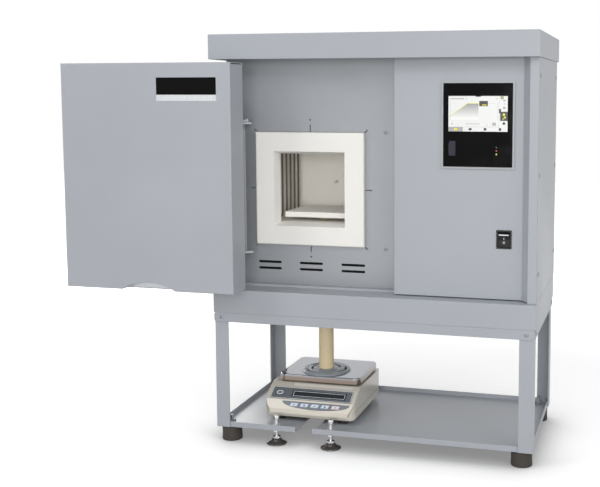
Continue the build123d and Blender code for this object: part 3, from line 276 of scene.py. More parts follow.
def spread(tree, value, low, high, new_low, new_high):
    """A value's range mapped to another, and held at its ends."""
    ends = {"From Min": low, "From Max": high, "To Min": new_low, "To Max": new_high}
    return add(tree, "MapRange", {"Value": value, **ends}).outputs["Result"]


def reckon(tree, operation, first, second):
    """Arithmetic on two values."""
    return add(tree, "Math", {0: first, 1: second}, operation=operation).outputs[0]


def new_group(name, inputs, outputs):
    """An empty node group with named sockets."""
    tree = bpy.data.node_groups.new(name, "ShaderNodeTree")
    for label, kind in inputs:
        tree.interface.new_socket(label, in_out="INPUT", socket_type="NodeSocket" + kind)
    for label, kind in outputs:
        tree.interface.new_socket(label, in_out="OUTPUT", socket_type="NodeSocket" + kind)
    return tree, tree.nodes.new("NodeGroupInput").outputs, tree.nodes.new("NodeGroupOutput")


def give(tree, target, **values):
    """Links a group's results to its outputs."""
    for label, value in values.items():
        tree.links.new(value, target.inputs[label])


def noise(tree, point, scale, detail, rough=0.5, twist=0.0):
    """Noise over a point."""
    values = {"Vector": point, "Scale": scale, "Detail": detail, "Roughness": rough}
    return add(tree, "TexNoise", {**values, "Distortion": twist}).outputs["Fac"]


# Cloudy patches and fine specks
tree, given, result = new_group(
    "Tone",
    [("Point", "Vector"), ("Broad", "Float"), ("Fine", "Float")],
    [("Cloud", "Float"), ("Speck", "Float")],
)
broad_noise = noise(tree, given["Point"], given["Broad"], detail=3.0)
cloud = spread(tree, broad_noise, 0.32, 0.68, 0, 1)
fine_noise = noise(tree, given["Point"], given["Fine"], detail=2.0, rough=0.7)
speck = spread(tree, fine_noise, 0.3, 0.7, 0, 1)
give(tree, result, Cloud=cloud, Speck=speck)

# The uneven skin of sprayed paint: a coarse noise and a share of a finer one
finer, fine_share = 3.7, 0.35
tree, given, result = new_group(
    "Orange peel", [("Point", "Vector"), ("Scale", "Float")], [("Height", "Float")]
)
coarse = noise(tree, given["Point"], given["Scale"], detail=1.0)
fine_scale = reckon(tree, "MULTIPLY", given["Scale"], finer)
fine = noise(tree, given["Point"], fine_scale, detail=1.0)
peel_height = reckon(tree, "ADD", coarse, reckon(tree, "MULTIPLY", fine, fine_share))
give(tree, result, Height=peel_height)

# Fine lines along the rolling direction of a sheet, and broad stains
tree, given, result = new_group(
    "Brushed", [("Point", "Vector"), ("Stretch", "Vector")], [("Lines", "Float"), ("Stain", "Float")]
)
stretch_values = {0: given["Point"], 1: given["Stretch"]}
stretched = add(tree, "VectorMath", stretch_values, operation="MULTIPLY").outputs["Vector"]
line_noise = noise(tree, stretched, scale=1.0, detail=4.0, rough=0.7)
lines = spread(tree, line_noise, 0.3, 0.7, 0, 1)
stain_noise = noise(tree, given["Point"], scale=7.0, detail=4.0, rough=0.6, twist=0.4)
stain = spread(tree, stain_noise, 0.4, 0.75, 0, 1)
give(tree, result, Lines=lines, Stain=stain)

# Felted fibres, and pits where a cell's middle is near
tree, given, result = new_group(
    "Fibre", [("Point", "Vector"), ("Scale", "Float")], [("Felt", "Float"), ("Pits", "Float")]
)
felt = noise(tree, given["Point"], given["Scale"], detail=5.0, rough=0.72, twist=1.3)
cell_values = {"Vector": given["Point"], "Scale": given["Scale"]}
cells = add(tree, "TexVoronoi", cell_values).outputs["Distance"]
give(tree, result, Felt=felt, Pits=spread(tree, cells, 0.04, 0.22, 1, 0))

# A rounded edge's normal, and a mask of the edge by how far that normal turns away, used to lighten
# edges partly as wear and partly as a painted highlight
tree, given, result = new_group(
    "Soft edge", [("Radius", "Float")], [("Normal", "Vector"), ("Worn", "Float")]
)
bevel = add(tree, "Bevel", {"Radius": given["Radius"]}, samples=4).outputs["Normal"]
facing = add(tree, "NewGeometry").outputs["Normal"]
agree = add(tree, "VectorMath", {0: bevel, 1: facing}, operation="DOT_PRODUCT").outputs["Value"]
give(tree, result, Normal=bevel, Worn=spread(tree, agree, 0.98, 0.8, 0, 1))


def place_group(tree, name, **values):
    """A group in a material, with its inputs by name."""
    made = tree.nodes.new("ShaderNodeGroup")
    made.node_tree = bpy.data.node_groups[name]
    fill(tree, made, values)
    return made.outputs


def start(name, **shader_values):
    """A material with one Principled shader; gives it, its tree, the shader and the point."""
    made = bpy.data.materials.new(name)
    made.use_nodes = True
    tree = made.node_tree
    shader = tree.nodes["Principled BSDF"]
    for key, value in shader_values.items():
        shader.inputs[key.replace("_", " ")].default_value = value
    return made, tree, shader, add(tree, "TexCoord").outputs["Object"]


def set_bump(tree, shader, height, distance, normal):
    """Raises the surface by a height and passes the rounded edge's normal through."""
    values = {"Height": height, "Distance": distance, "Strength": 1.0, "Normal": normal}
    tree.links.new(add(tree, "Bump", values).outputs["Normal"], shader.inputs["Normal"])


def scaled(colour, factor):
    """A colour made darker or lighter."""
    return (*[min(channel * factor, 1.0) for channel in colour[:3]], 1.0)


def coated(name, colour, rough, cloud=0.03, speck=0.03, peel=0.00003, peel_scale=900.0,
           edge=0.0008, wear_and_sheen=0.06, coat=0.0, mirror=0.5):
    """Paint, powder coat, moulded plastic or rubber: cloudy tone, fine specks, orange peel and a
    soft edge, lightened partly as wear and partly as a painted highlight on the bend."""
    made, tree, shader, point = start(name, Coat_Weight=coat, Coat_Roughness=0.12)
    shader.inputs["Specular IOR Level"].default_value = mirror
    tone = place_group(tree, "Tone", Point=point, Broad=5.0, Fine=1500.0)
    soft = place_group(tree, "Soft edge", Radius=edge)
    light_grain, worn_and_lit_edge, rough_span = scaled(colour, 1.28), scaled(colour, 1.8), 0.04
    clouded = mix(tree, tone["Cloud"], scaled(colour, 1 - cloud), scaled(colour, 1 + cloud))
    grain = reckon(tree, "MULTIPLY", tone["Speck"], speck * 4)
    grained = mix(tree, grain, clouded, light_grain)
    # Edges are lightened, partly as wear and partly as a painted highlight on the bend.
    rubbed_and_lit = mix(tree, reckon(tree, "MULTIPLY", soft["Worn"], wear_and_sheen), grained, worn_and_lit_edge)
    uneven_rough = spread(tree, tone["Cloud"], 0, 1, rough - rough_span, rough + rough_span)
    tree.links.new(rubbed_and_lit, shader.inputs["Base Color"])
    tree.links.new(uneven_rough, shader.inputs["Roughness"])
    bumps = place_group(tree, "Orange peel", Point=point, Scale=peel_scale)
    set_bump(tree, shader, bumps["Height"], peel, soft["Normal"])
    return made


def metal(name, colour, rough, stretch, lines=0.12, stain=0.1, edge=0.0006, metallic=1.0,
          cut=0.000004, fade=None):
    """Bare metal: fine lines along the rolling direction, faint stains and edges lightened partly as
    wear and partly as a painted highlight; a fade gives two heights and the colour that is reached
    at the upper one."""
    made, tree, shader, point = start(name, Metallic=metallic)
    brushed = place_group(tree, "Brushed", Point=point, Stretch=stretch)
    soft = place_group(tree, "Soft edge", Radius=edge)
    dark_stain, bright_edge, metal_wear_and_sheen = scaled(colour, 0.6), scaled(colour, 1.4), 0.3
    smoother, rougher = 0.05, 0.07
    lined = mix(tree, brushed["Lines"], scaled(colour, 1 - lines), scaled(colour, 1 + lines))
    if fade:
        low, high, other = fade
        lined = mix(tree, by_height(tree, point, low, high), lined, other)
    stained = mix(tree, reckon(tree, "MULTIPLY", brushed["Stain"], stain), lined, dark_stain)
    # Edges are lightened, partly as wear and partly as a painted highlight.
    bright = mix(tree, reckon(tree, "MULTIPLY", soft["Worn"], metal_wear_and_sheen), stained, bright_edge)
    lined_rough = spread(tree, brushed["Lines"], 0, 1, rough - smoother, rough + rougher)
    tree.links.new(bright, shader.inputs["Base Color"])
    tree.links.new(lined_rough, shader.inputs["Roughness"])
    set_bump(tree, shader, brushed["Lines"], cut, soft["Normal"])
    return made


def fired(name, colour, rough, fibre_scale, relief, pits, tint=(0.93, 0.9, 0.84)):
    """Ceramic and fibre board: felted tone, small pits, matt and soft at the edges."""
    made, tree, shader, point = start(name)
    fibre = place_group(tree, "Fibre", Point=point, Scale=fibre_scale)
    tone = place_group(tree, "Tone", Point=point, Broad=9.0, Fine=1200.0)
    soft = place_group(tree, "Soft edge", Radius=0.0012)
    shade = tuple(channel * ratio for channel, ratio in zip(colour[:3], tint)) + (1.0,)
    cloud_share, cloud_shade, pit_shade = 0.35, scaled(shade, 0.96), scaled(shade, 0.7)
    rough_span = 0.06
    felted = mix(tree, spread(tree, fibre["Felt"], 0.35, 0.65, 0, 1), shade, colour)
    cloud = reckon(tree, "MULTIPLY", tone["Cloud"], cloud_share)
    clouded = mix(tree, cloud, felted, cloud_shade)
    pitted = mix(tree, reckon(tree, "MULTIPLY", fibre["Pits"], pits), clouded, pit_shade)
    felted_rough = spread(tree, fibre["Felt"], 0.3, 0.7, rough - rough_span, rough + rough_span)
    tree.links.new(pitted, shader.inputs["Base Color"])
    tree.links.new(felted_rough, shader.inputs["Roughness"])
    height = reckon(tree, "SUBTRACT", fibre["Felt"], fibre["Pits"])
    set_bump(tree, shader, height, relief, soft["Normal"])
    return made


def glossy(name, colour, rough, smudge, coat=0.0, mirror=0.5):
    """Polished plastic or glass front: even colour with wiped marks in its gloss."""
    made, tree, shader, point = start(name, Coat_Weight=coat, Coat_Roughness=0.05)
    shader.inputs["Specular IOR Level"].default_value = mirror
    tone = place_group(tree, "Tone", Point=point, Broad=22.0, Fine=300.0)
    soft = place_group(tree, "Soft edge", Radius=0.0005)
    cloud = 0.04
    clouded = mix(tree, tone["Cloud"], scaled(colour, 1 - cloud), scaled(colour, 1 + cloud))
    wiped_rough = spread(tree, tone["Cloud"], 0.35, 1, rough, rough + smudge)
    tree.links.new(clouded, shader.inputs["Base Color"])
    tree.links.new(wiped_rough, shader.inputs["Roughness"])
    set_bump(tree, shader, tone["Speck"], 0.000002, soft["Normal"])
    return made


def by_height(tree, point, low, high):
    """Zero below one height and one above another, both in millimetres."""
    height = add(tree, "SeparateXYZ", {"Vector": point}).outputs["Z"]
    return spread(tree, height, low * MM, high * MM, 0, 1)


def lit(name, colour, glow, rough=0.3, fade=None):
    """A printed or lit mark on a display: its colour, slightly uneven, with a little light; a
    fade gives two heights and the colour that is reached at the upper one."""
    made, tree, shader, point = start(name, Roughness=rough, Emission_Strength=glow)
    tone = place_group(tree, "Tone", Point=point, Broad=60.0, Fine=2500.0)
    darker, lighter = scaled(colour, 0.93), scaled(colour, 1.05)
    uneven = mix(tree, tone["Speck"], darker, lighter)
    if fade:
        low, high, other = fade
        uneven = mix(tree, by_height(tree, point, low, high), uneven, other)
    tree.links.new(uneven, shader.inputs["Base Color"])
    tree.links.new(uneven, shader.inputs["Emission Color"])
    return made


# Finishes
white_tint = (0.97, 0.96, 0.93)
finishes = {
    "stand_paint": coated(
        "stand_paint", srgb(165, 169, 175), 0.32, speck=0.02, peel=0.00002, edge=0.0014, wear_and_sheen=0.2,
        mirror=0.3,
    ),
    "body_paint": coated(
        "body_paint", srgb(163, 167, 173), 0.42, speck=0.04, edge=0.0014, wear_and_sheen=0.2, mirror=0.35
    ),
    "plate_steel": metal(
        "plate_steel", srgb(150, 153, 157), 0.42, (4, 4, 700), lines=0.02, stain=0.12, metallic=0.25
    ),
    "inner_steel": metal("inner_steel", srgb(170, 172, 175), 0.35, (700, 4, 4), lines=0.08),
    "insulation": fired(
        "insulation", srgb(247, 244, 238), 0.9, fibre_scale=180.0, relief=0.0004, pits=0.12,
        tint=white_tint,
    ),
    "collar_white": fired(
        "collar_white", srgb(238, 237, 234), 0.8, fibre_scale=420.0, relief=0.00012, pits=0.08,
        tint=white_tint,
    ),
    "element_grey": fired(
        "element_grey", srgb(96, 90, 82), 0.55, fibre_scale=500.0, relief=0.0001, pits=0.1,
        tint=(0.8, 0.76, 0.7),
    ),
    "strap_metal": metal("strap_metal", srgb(190, 192, 194), 0.4, (900, 900, 60)),
    "sheath_ceramic": fired(
        "sheath_ceramic", srgb(222, 214, 196), 0.4, fibre_scale=300.0, relief=0.00006, pits=0.05
    ),
    "foot_rubber": coated(
        "foot_rubber", srgb(58, 53, 48), 0.75, cloud=0.08, speck=0.08, peel=0.00012,
        peel_scale=600.0, edge=0.0015, wear_and_sheen=0.3,
    ),
    "bright_steel": metal(
        "bright_steel", srgb(214, 214, 216), 0.18, (60, 60, 900), lines=0.05, stain=0.1
    ),
    "pad_black": glossy("pad_black", srgb(66, 62, 59), 0.24, smudge=0.1, coat=0.8),
    "frame_grey": coated(
        "frame_grey", srgb(164, 167, 170), 0.4, cloud=0.02, speck=0.02, peel=0.00002
    ),
    "glass_black": glossy("glass_black", srgb(15, 15, 16), 0.07, smudge=0.1, mirror=0.05),
    "case_grey": coated(
        "case_grey", srgb(38, 40, 48), 0.4, cloud=0.05, speck=0.05, peel_scale=1200.0, mirror=0.2
    ),
    "switch_black": coated(
        "switch_black", srgb(22, 22, 24), 0.32, cloud=0.05, speck=0.05, peel=0.00002,
        peel_scale=1200.0, edge=0.0007, wear_and_sheen=0.2, mirror=0.25,
    ),
    "core_iron": coated("core_iron", srgb(84, 78, 72), 0.5, cloud=0.2, speck=0.1, peel=0.0001),
    "fin_aluminium": metal("fin_aluminium", srgb(182, 184, 188), 0.3, (4, 900, 4)),
    "arm_steel": metal("arm_steel", srgb(160, 163, 168), 0.4, (500, 500, 6), metallic=0.35),
    "gland_black": coated(
        "gland_black", srgb(40, 40, 41), 0.5, cloud=0.05, speck=0.06, peel=0.00006
    ),
    "shell_cream": coated(
        "shell_cream", srgb(212, 206, 193), 0.26, cloud=0.02, speck=0.02, peel=0.00001,
        peel_scale=700.0, edge=0.003, wear_and_sheen=0.05, coat=0.4,
    ),
    "base_black": coated(
        "base_black", srgb(36, 35, 34), 0.5, cloud=0.06, speck=0.05, peel=0.00006
    ),
    "panel_slate": coated(
        "panel_slate", srgb(104, 110, 116), 0.36, cloud=0.04, peel=0.00002, peel_scale=1500.0,
        edge=0.0005, wear_and_sheen=0.5,
    ),
    "display_dark": glossy("display_dark", srgb(46, 52, 56), 0.08, smudge=0.08, coat=0.5),
    "key_light": coated(
        "key_light", srgb(206, 215, 224), 0.4, speck=0.02, peel=0.00002, peel_scale=1500.0
    ),
    # The pan's lip below 112 mm is brownish, a painted reflection of a brown surface; by 116.5 mm it
    # fades to the grey of the steel.
    "pan_steel": metal(
        "pan_steel", srgb(142, 128, 118), 0.1, (6, 500, 500), lines=0.03, stain=0.04, edge=0.0015,
        cut=0.000001, fade=(112.0, 116.5, srgb(150, 153, 159)),
    ),
    "disc_grey": coated(
        "disc_grey", srgb(150, 156, 163), 0.34, cloud=0.05, speck=0.04, peel_scale=1200.0, wear_and_sheen=0.3
    ),
    "tube_ceramic": fired(
        "tube_ceramic", srgb(240, 222, 184), 0.55, fibre_scale=340.0, relief=0.00008, pits=0.04,
        tint=(0.94, 0.91, 0.85),
    ),
}
for row in frame["record"]["subparts"]:
    mesh = nodes[row["node"]].data
    mesh.materials.clear()
    mesh.materials.append(finishes[row["material_slot"]])
# The hinge bracket gets a paint lighter than the body: painted light against the door's shadow that
# falls on it.
hinge_paint_painted_light = coated("hinge_paint_painted_light", srgb(196, 199, 203), 0.35, wear_and_sheen=0.2)
nodes["hinge_bracket"].data.materials[0] = hinge_paint_painted_light
plate_white = fired(
    "plate_white", srgb(250, 248, 244), 0.7, fibre_scale=420.0, relief=0.0001, pits=0.08,
    tint=white_tint,
)
nodes["sample_plate"].data.materials[0] = plate_white

# Printed white marks glow a little: a painted glow, since print gives no light.
glowing_white_print = lit("glowing_white_print", srgb(236, 238, 240), 0.1)
screen_white = lit("screen_white", srgb(204, 205, 203), 0.3)
screen_grey = lit("screen_grey", srgb(150, 150, 148), 0.25)
screen_shade = lit(
    "screen_shade", srgb(212, 213, 211), 0.32, fade=(664.0, 693.2, srgb(130, 130, 128))
)
screen_dark = lit("screen_dark", srgb(28, 28, 28), 0.05)
screen_yellow = lit("screen_yellow", srgb(206, 198, 24), 0.3)
lamp_red = glossy("lamp_red", srgb(196, 66, 48), 0.2, smudge=0.05)
lamp_yellow = glossy("lamp_yellow", srgb(222, 206, 84), 0.2, smudge=0.05)
lamp_dark = glossy("lamp_dark", srgb(60, 60, 60), 0.2, smudge=0.05)
key_print = lit("key_print", srgb(40, 48, 56), 0.0, rough=0.5)
blue_print = lit("blue_print", srgb(112, 134, 164), 0.0, rough=0.5)
red_print = lit("red_print", srgb(206, 84, 92), 0.0, rough=0.5)
level_grey = glossy("level_grey", srgb(128, 134, 132), 0.12, smudge=0.05)
screw_zinc = metal(
    "screw_zinc", srgb(146, 149, 153), 0.42, (60, 60, 900), lines=0.05, stain=0.2, metallic=0.6
)
# Black for openings, slots and holes: a painted shade for the dark inside them.
painted_hole_shade = coated("painted_hole_shade", srgb(16, 16, 17), 0.7, cloud=0.05, speck=0.1, mirror=0.1)
label_pale = coated("label_pale", srgb(226, 222, 216), 0.5, cloud=0.02, speck=0.02)

# Screws and feet; a side's two directions run along it level and upward
front_side, right_side, left_side, rear_side = (X, Z), (Y, Z), (-Y, Z), (-X, Z)
front_rail_screws, side_rail_screws, rail_screw_level = (-309.0, 309.0), (-149.0, 149.0), 260.5
plate_screw_x, plate_screw_levels = 17.0, (402.0, 635.0)
right_panel_screws, left_panel_screws = (-135.5, 164.0), (-72.0, 164.0)
rear_panel_screws, panel_screw_levels = (-306.7, 311.7), (372.0, 559.0, 745.0)
screw_places = []
for x in front_rail_screws:
    screw_places.append(((x, -stand_front, rail_screw_level), front_side))
    screw_places.append(((x, stand_front, rail_screw_level), rear_side))
for y in side_rail_screws:
    screw_places.append(((-stand_side, y, rail_screw_level), left_side))
    screw_places.append(((stand_side, y, rail_screw_level), right_side))
for z in plate_screw_levels:
    screw_places.append(((plate_screw_x, plate_face, z), front_side))
for z in panel_screw_levels:
    screw_places += [((right_face, y, z), right_side) for y in right_panel_screws]
    screw_places += [((left_face, y, z), left_side) for y in left_panel_screws]
    screw_places += [((x, rear_face, z), rear_side) for x in rear_panel_screws]
heads = [lay(screw_head(), origin, *axes) for origin, axes in screw_places]
piece("cabinet_screws", heads, screw_zinc)

foot_profile = softened([(17.5, 0), (21, 0.2), (20.2, 15), (21, 30.8), (16, 31)], 3.0)
rubber = turned(foot_profile, count=56)
piece(
    "foot_rubbers", [lay(rubber, (x, y, 0)) for x, y in foot_places], finishes["foot_rubber"],
    instead_of=["rubber_feet"],
)
stud_radius, washer_thickness = 4.0, 1.6
washer_profile = [(4.2, 0), (8, 0), (8, washer_thickness), (4.2, washer_thickness)]
washer = turned(softened(washer_profile, 0.4), count=40)
fixing = [threaded(stud_radius, 0, 17.0), washer, nut(13.0, 6.5, low=washer_thickness)]
stud_parts = [lay(part, (x, y, shelf_top)) for x, y in foot_places for part in fixing]
piece("foot_fixings", stud_parts, screw_zinc)

pad_profile = [(19.5, 0), (21, 0), (21, 2.5), (13, 6.4), (8.5, 11), (4.6, 11), (4.6, 5.2)]
pad_cone = turned(softened(pad_profile, 1.4), count=64)
thread_low, thread_high, collar_low = 5.3, 51.2, 49.6
collar = turned([(5.4, collar_low), (5.4, thread_high)], count=32)
cap, flange_nut = nut(11.0, 8.0, low=51.0), nut(15.0, 4.2, low=11.2)
rod = [threaded(stud_radius, thread_low, thread_high), collar, cap, flange_nut]
for side, (x, y) in leveller_places.items():
    piece(
        f"leveller_cone_{side}", [lay(pad_cone, (x, y, 0))], finishes["pad_black"],
        body=f"{side}_pad", instead_of=[f"leveller_pad_{side}"],
    )
    piece(
        f"leveller_screw_{side}", [lay(part, (x, y, 0)) for part in rod], finishes["bright_steel"],
        body=f"{side}_stud", instead_of=[f"leveller_stud_{side}"],
    )

# Heating elements, and painted shade in the openings of the front plate
bend_radius, shank_low, joint_level, terminal_level = 12.0, 468.5, 610.5, 746.5
thin_radius, thick_radius, joint_half = 2.0, 3.5, 0.6
half_turn = np.linspace(0, pi, 17)
bend_y, bend_z = -bend_radius * np.cos(half_turn), shank_low - bend_radius * np.sin(half_turn)
half_bend = np.stack([0 * half_turn, bend_y, bend_z], -1)
rise = np.array(
    [[0, 0, terminal_level], [0, 0, joint_level + joint_half], [0, 0, joint_level - joint_half]]
)
path = np.concatenate([rise + (0, -bend_radius, 0), half_bend, rise[::-1] + (0, bend_radius, 0)])
thick = np.where(path[:, 2] > joint_level, thick_radius, thin_radius)
element = tube(path, thick, side=X, count=18)
row_distance, element_rows = 78.0, (-60.0, -12.0, 36.0)
element_places = [
    (chamber_middle + side * row_distance, y) for side in (-1, 1) for y in element_rows
]
piece(
    "element_hairpins", [lay(element, (x, y, 0)) for x, y in element_places],
    finishes["element_grey"], instead_of=["heating_elements"], sharp=50,
)

# Black sheets behind the vents and black dots on the pin holes are painted shade for the dark inside
# these openings.
vent_shadow_sheet = slab(rounded_box_outline(56, 10, 4.5), 0.6)
vent_shifts, vent_levels, shadow_sheet_set_back = (-89.5, 0, 89.5), (353, 366), 2.3
vent_places = [
    (chamber_middle + shift, plate_face + shadow_sheet_set_back, z)
    for shift in vent_shifts
    for z in vent_levels
]
pin_hole_shadow, pin_hole_levels = slab(ellipse(3.2, 3.2, 20), 0.1), (379.8, 658.7)
plate_shadow_marks = [lay(vent_shadow_sheet, place, X, Z) for place in vent_places]
plate_shadow_marks += [lay(pin_hole_shadow, (chamber_middle, plate_face, z), X, Z) for z in pin_hole_levels]
piece("plate_opening_shadows", plate_shadow_marks, painted_hole_shade)

# Controller front
screen_low = np.array([152.0, 640.2])
screen_size = np.array([113.0, 67.0])
recess, film = 0.4, 0.06


def on_screen(outline, level):
    """A flat mark in the display's recess, its corner at the lower left of the screen."""
    corner = (screen_low[0], glass_face + recess, screen_low[1])
    return lay(slab(outline, film, level), corner, X, Z)


# Marks of the display, in millimetres from the screen's lower left corner
curve_start, curve_knee, curve_end = (3.4, 29.3), (36.6, 53.0), (57.5, 53.0)
area_low, menu_left, tab_top = 22.5, 98.8, 8.6
area_under = [curve_start, (3.4, area_low), (57.5, area_low), curve_end, curve_knee]
line_outlines = [
    bar(0, 0, 28, tab_top), bar(28, tab_top, 96.5, tab_top + 0.4), bar(96.5, 0, 96.9, 67),
    bar(3.1, 22, 3.5, 56), bar(94, 22, 94.4, 56), bar(5, 14, 9, 15.2), bar(33, 13.8, 60, 15),
    bar(84, 11.5, 91, 17), bar(3.4, 60.8, 30, 62.6), bar(33, 61, 35, 62.4),
    bar(92, 60, 93.4, 63.6), bar(78, 53.3, 90, 53.7), bar(72.6, 11.8, 74.6, 13.4),
    bar(104, 57, 109, 59.4), bar(106, 51, 107.4, 53.4), bar(104, 42.6, 109, 46.6),
]
slider = bar(96.6, 34.4, 100.4, 42.6)
block_outlines = [
    bar(59, 47.8, 75.4, 57.6), bar(menu_left, 20.4, 113, 37.6), slider, bar(52, 65.4, 62, 67),
    bar(99.6, 61.2, 104.8, 66.4), ellipse(5.4, 5.4, 20) + (106, 15.4),
    rounded_box_outline(5.6, 4.2, 0.8) + (42, 4.4), rounded_box_outline(5, 4.6, 0.6) + (70.4, 4.4),
    ellipse(5.2, 5.2, 20) + (menu_left, 4.4),
]
curve_outlines = [
    ribbon([curve_start, curve_knee, curve_end], 0.9), ellipse(2.2, 2.2, 16) + curve_start,
    ellipse(1.8, 1.8, 16) + curve_end, rounded_box_outline(6.4, 4, 0.6) + (13.8, 4.4),
    bar(64.5, 49.2, 73, 51), rounded_box_outline(4.4, 4, 0.8) + (106, 32.2),
    bar(105.6, 25.4, 109.4, 28.6), bar(103, 23.2, 106.4, 24.4),
    ellipse(3.4, 3.4, 16) + (102.2, 63.8),
]
back_level, print_level, slider_level, curve_level = 0.0, 0.06, 0.07, 0.14
block_levels = [slider_level if outline is slider else print_level for outline in block_outlines]
screen_layers = {
    "screen_back": (screen_white, [(bar(0, 0, *screen_size), back_level)]),
    "screen_shadow": (screen_shade, [(area_under, print_level)]),
    "screen_lines": (screen_grey, [(outline, print_level) for outline in line_outlines]),
    "screen_blocks": (screen_dark, zip(block_outlines, block_levels)),
    "screen_curve": (screen_yellow, [(outline, curve_level) for outline in curve_outlines]),
}
for name, (finish, marks) in screen_layers.items():
    piece(name, [on_screen(outline, level) for outline, level in marks], finish)

lens = turned([(1.5, 0), (1.5, 0.15), (1.3, 0.27), (0.9, 0.35), (0.4, 0.39)], count=24)
lamp_x = 244.3
for name, z, finish in (
    ("lamp_upper", 610.5, lamp_dark),
    ("lamp_middle", 604.0, lamp_red),
    ("lamp_lower", 597.5, lamp_yellow),
):
    piece(name, [lay(lens, (lamp_x, glass_face, z), X, Z)], finish)

# Marks of the main switch, and a painted highlight along the rocker's upper edge
rocker_axle = np.array([260.1, -130.7, 435.5])
rocker_tilt = radians(12.0)


def rocker_spot(along, back):
    """A place on the rocker's front, turned with it about its axle by its tilt."""
    y = -back * np.cos(rocker_tilt) - along * np.sin(rocker_tilt)
    z = -back * np.sin(rocker_tilt) + along * np.cos(rocker_tilt)
    return rocker_axle + (0, y, z)


valley, upper_edge, lower_edge = (0, 3.2), (13.4, 5.5), (-13.4, 5.5)
mark_depth, ring_shift = 0.2, (0, 1.6)
stroke_mark = slab(bar(-0.5, -6.2, 0.5, -2.2), mark_depth)
# A white bar along the rocker's upper edge is a painted highlight, where light would catch the
# bevel.
painted_highlight_bar = slab(bar(-9.4, 2.6, 9.4, 4.8), mark_depth)
ring_mark = hoop(ellipse(4.2, 4.2) + ring_shift, ellipse(2.8, 2.8) + ring_shift, mark_depth)
rocker_marks_and_highlight = []
for edge, mark in ((upper_edge, stroke_mark), (upper_edge, painted_highlight_bar), (lower_edge, ring_mark)):
    low_spot, high_spot = rocker_spot(*valley), rocker_spot(*edge)
    up = (high_spot - low_spot) / np.linalg.norm(high_spot - low_spot)
    up = up if up[2] > 0 else -up
    rocker_marks_and_highlight.append(lay(mark, (low_spot + high_spot) / 2, X, up))
piece("switch_marks_and_highlight", rocker_marks_and_highlight, glowing_white_print, body="switch_rocker")

# Balance details
housing_middle, housing_half_width, housing_corner = -146.0, 97.0, 20.0
housing_front, housing_rear, housing_base = -109.0, 110.0, 44.0


def uphill(depth, height):
    """Unit direction that rises by a height while it runs back by a depth."""
    return np.array([0, depth, height]) / np.hypot(depth, height)


nose_origin, nose_up = np.array([-133.0, -102.99, 68.06]), uphill(9.5, 17.0)
slope_origin, slope_up = np.array([housing_middle, -82.0, 86.0]), uphill(32.0, 18.0)
slope_skin = 1.0


def on_nose(part):
    """A part laid on the steep front that carries the keys."""
    return lay(part, nose_origin, X, nose_up)


def on_slope(part):
    """A part laid on the slope that carries the display panel."""
    return lay(part, slope_origin, X, slope_up)


keypad_width, keypad_top, keypad_shift = 146, 1.2, (1.6, 6.6)
keypad_curve = ellipse(keypad_width, 29, 40, pi, 2 * pi)
keypad_corners = [(keypad_width / 2, keypad_top), (-keypad_width / 2, keypad_top)]
keypad = np.concatenate([keypad_curve, keypad_corners]) + keypad_shift
piece("keypad_film", [on_nose(slab(keypad, 0.25))], finishes["panel_slate"])


def key_edge(centre, grow):
    """The outline of a slanted key about its centre, wider by a margin on every side."""
    half_width, half_height, lean, middle = 8.5 + grow, 4.0 + grow, 1.5, 1
    return np.array([
        (centre - half_width - lean, middle - half_height),
        (centre + half_width - lean, middle - half_height),
        (centre + half_width + lean, middle + half_height),
        (centre - half_width + lean, middle + half_height),
    ])


# Each key has a coloured outline; every second one is marked with a cross, the others with a bar
key_pitch, key_top, last_key = 22.5, 1.2, 4
edge_out, edge_in = -0.1, -0.95
for number, centre in enumerate(np.arange(-2, 3) * key_pitch):
    body = f"key_{number + 1}"
    shapes = [bar(centre - 2.6, 0.2, centre + 2.6, 1.4), bar(centre - 0.6, -1.2, centre + 0.6, 2.8)]
    marks = [on_nose(slab(shape, 0.12, key_top)) for shape in shapes[: 1 + number % 2]]
    piece(f"{body}_mark", marks, key_print, body=body)
    edge_ring = hoop(key_edge(centre, edge_out), key_edge(centre, edge_in), 0.1)
    edge_line = lay(edge_ring, (0, 0, key_top))
    edge_finish = red_print if number == last_key else blue_print
    piece(f"{body}_edge", [on_nose(edge_line)], edge_finish, body=body)

window = rounded_box_outline(112, 13.5, 1.0)
inner_window = rounded_box_outline(110.4, 11.9, 0.8)
window_line = lay(hoop(window, inner_window, 0.1), (16, 0, 0.5))
piece("display_outline", [on_slope(window_line)], glowing_white_print)
panel_rim, inner_rim = rounded_box_outline(174.5, 31.5, 1.8), rounded_box_outline(172.9, 29.9, 1.4)
panel_line = lay(hoop(panel_rim, inner_rim, 0.12), (0, 0, slope_skin))
piece("panel_border", [on_slope(panel_line)], glowing_white_print)
level_x = -70
level_line = hoop(ellipse(14, 10.5, 40), ellipse(11.4, 8.2, 40), 0.5)
level_rim = lay(level_line, (level_x, 0, slope_skin))
piece("level_rim", [on_slope(level_rim)], glowing_white_print)
bubble = turned([(4.6, 0), (4.4, 0.3), (3.4, 0.5), (1.5, 0.62), (0.3, 0.65)], count=32)
level_bubble = lay(bubble, (level_x, 0, 0.95))
piece("level_glass", [on_slope(level_bubble)], level_grey)


